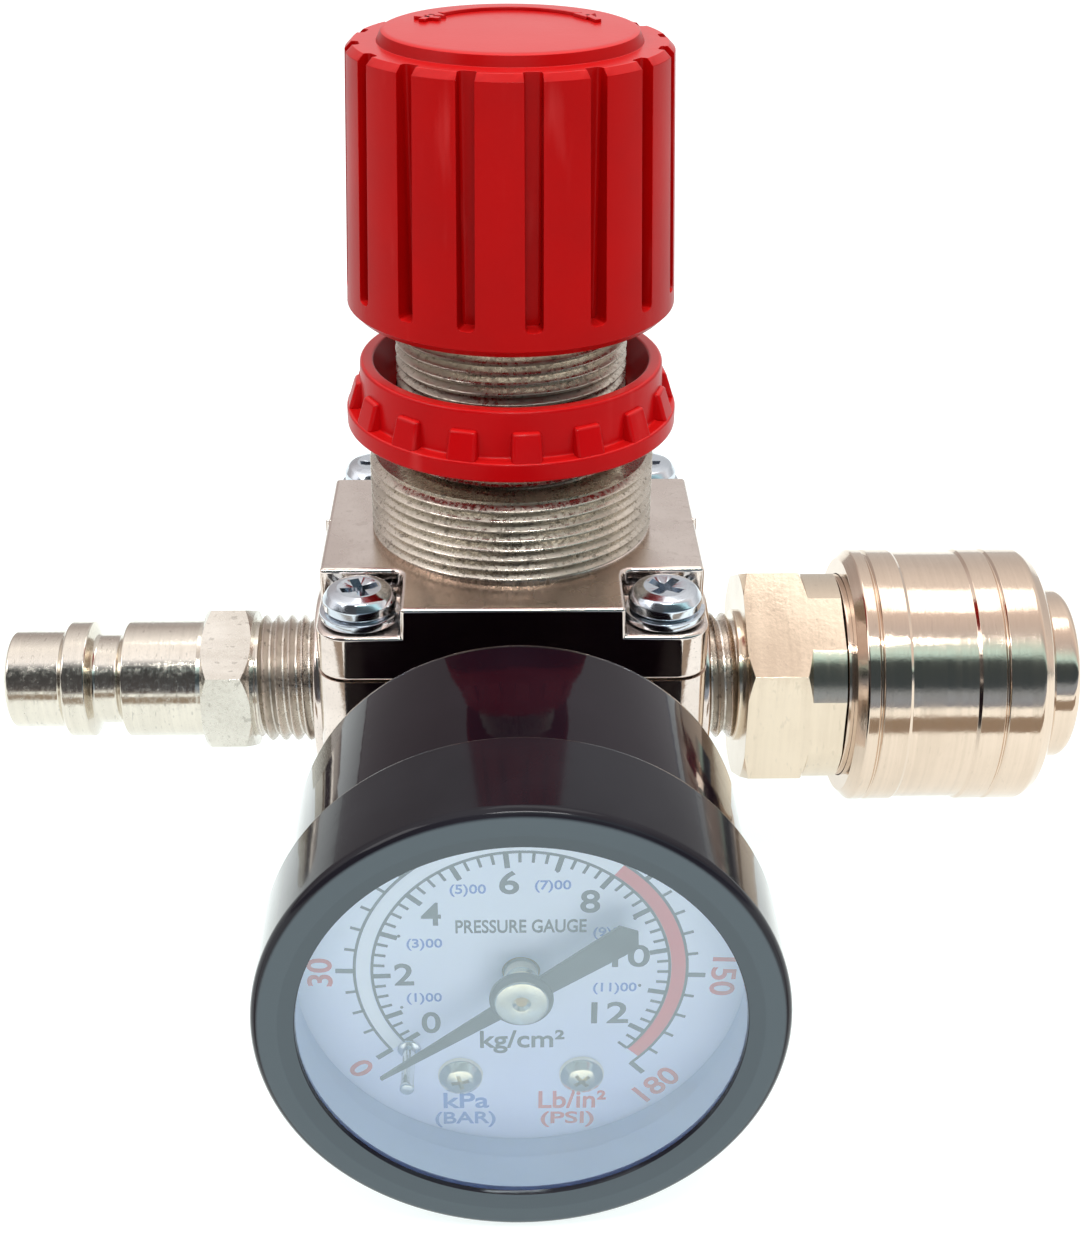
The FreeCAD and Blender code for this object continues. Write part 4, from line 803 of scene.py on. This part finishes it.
dial_white, dial_shader, dial_paint = new_finish("dial_white", {"Specular IOR Level": 0.4})
spot_on_dial = dial_paint.node("TexCoord", output="Object")
height_on_dial = dial_paint.node("SeparateXYZ", {"Vector": spot_on_dial}, output="Z")
# Painted shade: towards the bottom the dial is painted a darker, bluer white, standing in for the shade under
# the bezel's lower rim.
lower = 1 - (height_on_dial * 1000).between(4.0, 30.0)
dial_cloud = grain(dial_paint, 80)
wire(dial_shader,
     Base_Color=dial_cloud.between(0.2, 0.8).tint(lower.tint(rgb(0.84, 0.89, 0.97), rgb(0.70, 0.75, 0.97)),
                                                  lower.tint(rgb(0.80, 0.86, 0.96), rgb(0.66, 0.72, 0.95))),
     Roughness=dial_cloud * 0.15 + 0.38)
ink_black = enamel("ink_black", (0.045, 0.048, 0.055), (0.06, 0.064, 0.07), 0.4)
ink_blue = enamel("ink_blue", (0.06, 0.17, 0.55), (0.08, 0.20, 0.60), 0.4)
ink_red = enamel("ink_red", (0.62, 0.06, 0.06), (0.66, 0.08, 0.07), 0.4)
ink_band = enamel("ink_band", (0.70, 0.10, 0.10), (0.74, 0.13, 0.12), 0.4)
ink_pale = enamel("ink_pale", (0.90, 0.93, 0.97), (0.86, 0.90, 0.95), 0.4)

disc = spun("dial_disc", [(1.6, 47.0), (18.9, 47.0), (18.9, 47.4, 0.05), (1.6, 47.4)], 144)
settle(disc, GAUGE, "regulator", dial_white, ["gauge_dial"])


def ink_arc(name, low, high, start, end):
    """A printed arc between two radii, from start down to end, both in degrees above the right horizontal."""
    top = DIAL_FACE + INK
    return spun(name, [(low, DIAL_FACE), (high, DIAL_FACE), (high, top), (low, top)], 96,
                start=math.radians(end), sweep=math.radians(start - end))


def ink_tick(angle, low, high, width):
    tick = box("tick", ((low + high) / 2, 0, DIAL_FACE + INK / 2), (high - low, width, INK))
    tick.data.transform(turned_by(angle))
    return tick


def print_on_dial(film, ink):
    settle(film, GAUGE, "regulator", ink, smooth=10)


def kg_angle(value):
    return FIRST_MARK if value == 0 else 53.1 - 21.35 * (value - 8)


def pound_angle(value):
    return FIRST_MARK if value == 0 else 178.7 - 1.504 * (value - 30)


def lettering(words, place, height, width, turn=0.0):
    """Words as flat ink, made a mesh and fitted to a height and a width round a middle point."""
    alone()
    bpy.ops.object.text_add()
    letters = bpy.context.object
    letters.data.body = words
    letters.data.align_x = "CENTER"
    letters.data.size = 10
    letters.data.resolution_u = 4
    letters.data.extrude = 1
    letters.data.offset = 0.16
    bpy.ops.object.convert(target="MESH")
    letters = bpy.context.object
    spots = [vertex.co for vertex in letters.data.vertices]
    low = Vector(min(spot[axis] for spot in spots) for axis in range(3))
    high = Vector(max(spot[axis] for spot in spots) for axis in range(3))
    scale = Matrix.Diagonal((width / (high.x - low.x), height / (high.y - low.y), INK / 2, 1))
    spot = Matrix.Translation((place[0], place[1], DIAL_FACE + INK / 2))
    letters.data.transform(spot @ turned_by(turn) @ scale @ Matrix.Translation(-(low + high) / 2))
    edit(letters)
    bpy.ops.mesh.remove_doubles(threshold=0.0001)
    bpy.ops.object.mode_set(mode="OBJECT")
    return letters


black_print = [ink_arc("kg_arc", 12.10, 12.34, FIRST_MARK, -43),
               ink_arc("pound_arc", 13.54, 13.78, FIRST_MARK, -47)]
for value in [0] + [quarter / 4 for quarter in range(2, 51)]:
    inner, width = (10.7, MAIN_TICK) if value == int(value) else (11.2, FINE_TICK)
    black_print.append(ink_tick(kg_angle(value), inner, 12.2, width))
for value in [0] + list(range(12, 181, 6)):
    outer, width = (15.2, MAIN_TICK) if value % 30 == 0 else (14.6, FINE_TICK)
    black_print.append(ink_tick(pound_angle(value), 13.6, outer, width))
for words, place in (("0", (-7.5, -5.3)), ("2", (-9.6, -0.1)), ("4", (-7.25, 6.1)), ("6", (-0.95, 9.2)),
                     ("8", (5.55, 7.25))):
    black_print.append(lettering(words, place, 2.3, 1.6))
for words, place in (("10", (9.0, 1.6)), ("12", (7.4, -4.4))):
    black_print.append(lettering(words, place, 2.3, 3.1))
black_print.append(lettering("PRESSURE GAUGE", (0.0, 4.8), 1.35, 10.6))
black_print.append(lettering("kg/cm²", (0.1, -7.5), 2.5, 7.1))
print_on_dial(join("dial_print_black", black_print), ink_black)

blue_print = []
for words, place, width in (("(1)00", (-8.0, -2.7), 2.9), ("(3)00", (-7.85, 3.0), 2.9),
                            ("(5)00", (-4.25, 8.45), 2.9), ("(7)00", (2.55, 8.8), 2.9),
                            ("(9)00", (7.3, 4.0), 2.9), ("(11)00", (7.75, -1.8), 3.6)):
    blue_print.append(lettering(words, place, 1.2, width))
blue_print.append(lettering("kPa", (-4.7, -14.1), 1.75, 3.9))
blue_print.append(lettering("(BAR)", (-4.8, -16.3), 1.8, 5.2))
print_on_dial(join("dial_print_blue", blue_print), ink_blue)

red_print = []
for words, angle, radius, width in (("0", 217.2, 17.0, 1.5), ("30", 179.3, 16.5, 2.9),
                                    ("150", -2.2, 16.7, 4.0), ("180", -46.9, 17.0, 4.0)):
    tilt = angle - 90 if angle > -40 else angle + 90
    place = (radius * math.cos(math.radians(angle)), radius * math.sin(math.radians(angle)))
    red_print.append(lettering(words, place, 2.1, width, tilt))
red_print.append(lettering("Lb/in²", (4.4, -14.1), 2.0, 5.8))
red_print.append(lettering("(PSI)", (4.0, -16.4), 1.8, 4.6))
print_on_dial(join("dial_print_red", red_print), ink_red)
print_on_dial(ink_arc("dial_danger_band", 12.36, 13.55, RED_START, -43), ink_band)
print_on_dial(ink_arc("dial_scale_band", 12.4, 13.5, FIRST_MARK, RED_START), ink_pale)
DOTS = ((-9.9, -3.6), (-9.9, 3.9), (-5.2, 9.9), (2.9, 10.3), (9.2, 5.5), (9.8, -1.5))
dots = [primitive("dot", "cylinder", vertices=12, radius=0.14, depth=INK,
                  location=(*spot, DIAL_FACE + INK / 2)) for spot in DOTS]
print_on_dial(join("dial_dots", dots), ink_black)
paint_node(brass, "dial_posts")

dial_brass = plain_metal("dial_brass", (1.0, 0.93, 0.72), (0.92, 0.84, 0.62), 0.16, 0.3, (900, 900, 900))
spacer = spun("dial_spacer", [(18.6, 47.45), (19.1, 47.45), (19.1, 52.45), (18.35, 52.45), (18.35, 54.0),
                              (17.95, 54.0), (17.95, 50.2, 0.1), (18.6, 50.0)], 144)
spacer_blue = enamel("spacer_blue", (0.42, 0.52, 0.76), (0.36, 0.46, 0.70), 0.35)
settle(spacer, GAUGE, "regulator", spacer_blue, ["dial_ring"])
dome = spun("dome_screw", [(0, 44.9), (0.6, 44.9), (0.6, 47.4), (1.95, 47.4, 0.1), (1.85, 47.85, 0.3),
                           (1.2, 48.35, 0.6), (0, 48.5)], 48, closed=False)
carve(dome, cross_tool(48.5, 1.15, 0.45, 0.8))
soften(dome, 0.04, 2)
domes = copies(dome, [Matrix.Translation((side, -11.1, 0)) @ turned_by(turn)
                      for side, turn in ((-5.15, 12), (5.15, 40))])
settle(join("dial_screw_domes", domes), GAUGE, "regulator", dial_brass, ["dial_screws"])
rest_pin = spun("rest_pin", [(0, 47.0), (0.3, 47.0), (0.3, 47.4), (1.0, 47.4), (1.0, 47.7, 0.15),
                             (0.55, 47.75), (0.55, 51.9), (0.6, 52.0), (0.6, 52.35, 0.2), (0, 52.35)], 32,
                closed=False)
rest_pin.data.transform(Matrix.Translation((-9.4, -8.1, 0)))
pin_metal = plated_metal("pin_metal", (0.85, 0.85, 0.84), (0.7, 0.7, 0.7), (0.12, 0.25), 0.1)
settle(rest_pin, GAUGE, "regulator", pin_metal, ["stop_pin"])

# ---- Pointer -----------------------------------------------------------------------------------------------
# Blackened aluminium pointer, pressed with its boss on a brass bush at the end of the pinion arbor.

POINTER_REST = 216.1
pointer_black = enamel("pointer_black", (0.022, 0.022, 0.022), (0.04, 0.04, 0.038), 0.35, 300)
blade = box("pointer_blade", (1.95, 0, 50.6), (24.9, 1.8, 0.3))
edit(blade, lambda middle, way: way.x > 0.9)
bpy.ops.transform.resize(value=(1, 0.17, 1))
edit(blade, lambda middle, way: way.x < -0.9)
bpy.ops.transform.resize(value=(1, 1.5, 1))
bpy.ops.mesh.subdivide(number_cuts=1)
bpy.ops.object.mode_set(mode="OBJECT")
for vertex in blade.data.vertices:
    if vertex.co.x < -10 and abs(vertex.co.y) < 0.2:
        vertex.co.x -= 0.9
boss = spun("pointer_boss", [(0.6, 50.45), (2.6, 50.45), (2.6, 50.95, 0.15), (0.6, 50.95)], 48)
pointer = join("pointer_hand", [blade, boss])
soften(pointer, 0.05, 2)
pointer.data.transform(turned_by(POINTER_REST))
settle(pointer, GAUGE, "pointer_body", pointer_black, ["pointer"])
bush = spun("pointer_bush_cap", [(0.45, 50.8), (2.2, 50.8), (2.2, 51.35, 0.15), (0.75, 51.35, 0.1),
                                 (0.45, 51.1)], 48)
settle(bush, GAUGE, "pointer_body", dial_brass, ["pointer_bush"])
hub = spun("pointer_hub", [(0.45, 46.0), (1.4, 46.0, 0.1), (1.4, 48.4, 0.2), (1.15, 48.6), (1.15, 50.45),
                           (0.45, 50.45)], 48)
settle(hub, GAUGE, "pointer_body", dial_brass)
paint_node(brass, "pointer_arbor")

# ---- Gauge movement ----------------------------------------------------------------------------------------
# Brass plates and pillars, a toothed sector, link and hairspring, and the bent bronze tube behind the dial.

paint_node(brass, "movement_back_plate", "movement_front_plate", "movement_pillars", "movement_screws",
           "sector_gear", "tube_link")
paint_node(spring_wire, "hairspring")
paint_node(bronze, "bourdon_tube")

# ---- Floor, light and camera -------------------------------------------------------------------------------
# Plain white table and soft light from all round. The surround has dark bands for the plating to mirror, and
# two brown cards that only reflections show stand for warm things in front.

floor_white, floor_shader, floor_paint = new_finish(
    "floor_white", {"Roughness": 0.6, "Specular IOR Level": 0.2, "Emission Strength": 0.80})
tone = grain(floor_paint, 3)
wire(floor_shader, Base_Color=tone.tint(rgb(0.34, 0.36, 0.36), rgb(0.32, 0.35, 0.35)),
     Emission_Color=tone.tint(rgb(0.93, 1.0, 0.985), rgb(0.95, 1.0, 0.99)))
alone()
bpy.ops.mesh.primitive_plane_add(size=8, location=(0, 0, -0.0004))
floor = bpy.context.object
bpy.ops.object.transform_apply(location=True)
floor.name = "table"
floor.data.materials.append(floor_white)

world = bpy.data.worlds.new("studio")
bpy.context.scene.world = world
world.use_nodes = True
sky = Paint(world.node_tree)
way = sky.node("TexCoord", output="Generated")
sideways = sky.node("SeparateXYZ", {"Vector": way}, output="X")
across = sky.node("SeparateXYZ", {"Vector": way}, output="Y")
up = sky.node("SeparateXYZ", {"Vector": way}, output="Z")
height = up.math("ARCTAN2", up, -1 * across) / math.pi
glow = height.node("ValToRGB", {"Fac": height}, stops=[
    (0.0, rgb(0.30, 0.34, 0.42)), (0.034, rgb(0.37, 0.46, 0.57)), (0.07, rgb(0.34, 0.42, 0.50)),
    (0.10, rgb(0.06, 0.085, 0.105)), (0.235, rgb(0.06, 0.085, 0.095)), (0.27, rgb(0.76, 1.17, 1.20)),
    (0.31, rgb(0.74, 1.0, 1.0)), (0.355, rgb(0.66, 0.66, 0.67)), (0.40, rgb(0.76, 0.72, 0.72)),
    (0.50, rgb(0.97, 0.88, 0.83)), (0.66, rgb(1.05, 1.02, 1.0)), (0.84, rgb(0.76, 0.75, 0.75)),
    (1.0, rgb(0.66, 0.66, 0.66))])
left_glow = height.node("ValToRGB", {"Fac": height}, stops=[
    (0.0, rgb(0.20, 0.15, 0.14)), (0.03, rgb(0.09, 0.085, 0.09)), (0.29, rgb(0.055, 0.06, 0.065)),
    (0.34, rgb(0.50, 0.52, 0.56)), (0.38, rgb(1.35, 1.33, 1.36)), (0.60, rgb(1.30, 1.26, 1.24)),
    (0.72, rgb(0.90, 0.86, 0.86)), (0.86, rgb(0.55, 0.50, 0.49)), (1.0, rgb(0.50, 0.48, 0.48))])
glow = (-1 * sideways).between(0.07, 0.16).tint(glow, left_glow)
seen = sky.node("LightPath", output="Is Camera Ray")
backdrop = seen.tint(glow, rgb(0.94, 0.96, 0.96))
world.node_tree.links.new(backdrop.socket, world.node_tree.nodes["Background"].inputs["Color"])
world.node_tree.nodes["Background"].inputs["Strength"].default_value = 1.0


def soft_light(name, place, aim, size, power, colour=(1, 1, 1), glossy=True):
    light = bpy.data.lights.new(name, "AREA")
    light.shape = "RECTANGLE"
    light.size, light.size_y = size
    light.energy = power
    light.color = colour
    lamp = bpy.data.objects.new(name, light)
    bpy.context.collection.objects.link(lamp)
    lamp.location = place
    lamp.visible_glossy = glossy
    lamp.rotation_euler = (Vector(aim) - Vector(place)).to_track_quat("-Z", "Y").to_euler()


soft_light("window_left", (-0.55, -0.25, 0.55), (0, 0, 0.04), (0.3, 0.3), 0.9)
soft_light("overhead", (0.1, 0.2, 0.75), (0, 0, 0.04), (0.5, 0.3), 0.8)
soft_light("fill", (0.0, -0.7, 0.55), (0, 0, 0.03), (0.6, 0.4), 3.0, glossy=False)
soft_light("fill_left", (-0.6, -0.15, 0.25), (0, 0, 0.05), (0.4, 0.4), 0.9, glossy=False)
soft_light("fill_right", (0.6, -0.15, 0.25), (0, 0, 0.05), (0.4, 0.4), 1.5, glossy=False)
soft_light("fill_low", (0.0, -0.8, 0.10), (0, 0, 0.05), (0.8, 0.15), 1.3, glossy=False)
soft_light("strip", (0.04, -0.36, 0.62), (0, -0.03, 0.03), (0.30, 0.03), 1.3)

card_brown, card_shader, card_paint = new_finish("card_brown", {"Roughness": 0.8, "Emission Strength": 1.0,
                                                                "Base Color": rgb(0.0, 0.0, 0.0)})
card_tone = grain(card_paint, 12)
wire(card_shader, Emission_Color=card_tone.tint(rgb(0.34, 0.27, 0.20), rgb(0.38, 0.31, 0.24)))
for side in (-1, 1):
    alone()
    bpy.ops.mesh.primitive_plane_add(size=1, location=(side * 0.075, -0.060, 0.0085),
                                     rotation=(math.pi / 2, 0, 0))
    card = bpy.context.object
    card.scale = (0.090, 0.016, 1)
    bpy.ops.object.transform_apply(location=True, rotation=True, scale=True)
    card.name = "brown_card_%s" % ("left" if side < 0 else "right")
    card.data.materials.append(card_brown)
    card.visible_camera = card.visible_shadow = card.visible_diffuse = card.visible_transmission = False

CAMERA_PLACE = (-0.000968, -0.160913, 0.117742)
CAMERA_PAN, CAMERA_DIP, CAMERA_ROLL = -0.026428, 0.511222, 0.007411
camera_data = bpy.data.cameras.new("camera")
camera_data.lens = 51.12
camera_data.sensor_width = 36
camera = bpy.data.objects.new("camera", camera_data)
bpy.context.collection.objects.link(camera)
camera_turn = (Matrix.Rotation(CAMERA_PAN, 4, "Z") @ Matrix.Rotation(math.pi / 2 - CAMERA_DIP, 4, "X")
               @ Matrix.Rotation(CAMERA_ROLL, 4, "Z"))
camera.matrix_world = Matrix.Translation(CAMERA_PLACE) @ camera_turn
camera_data.clip_start = 0.01
bpy.context.scene.camera = camera
bpy.context.scene.view_settings.view_transform = "Standard"
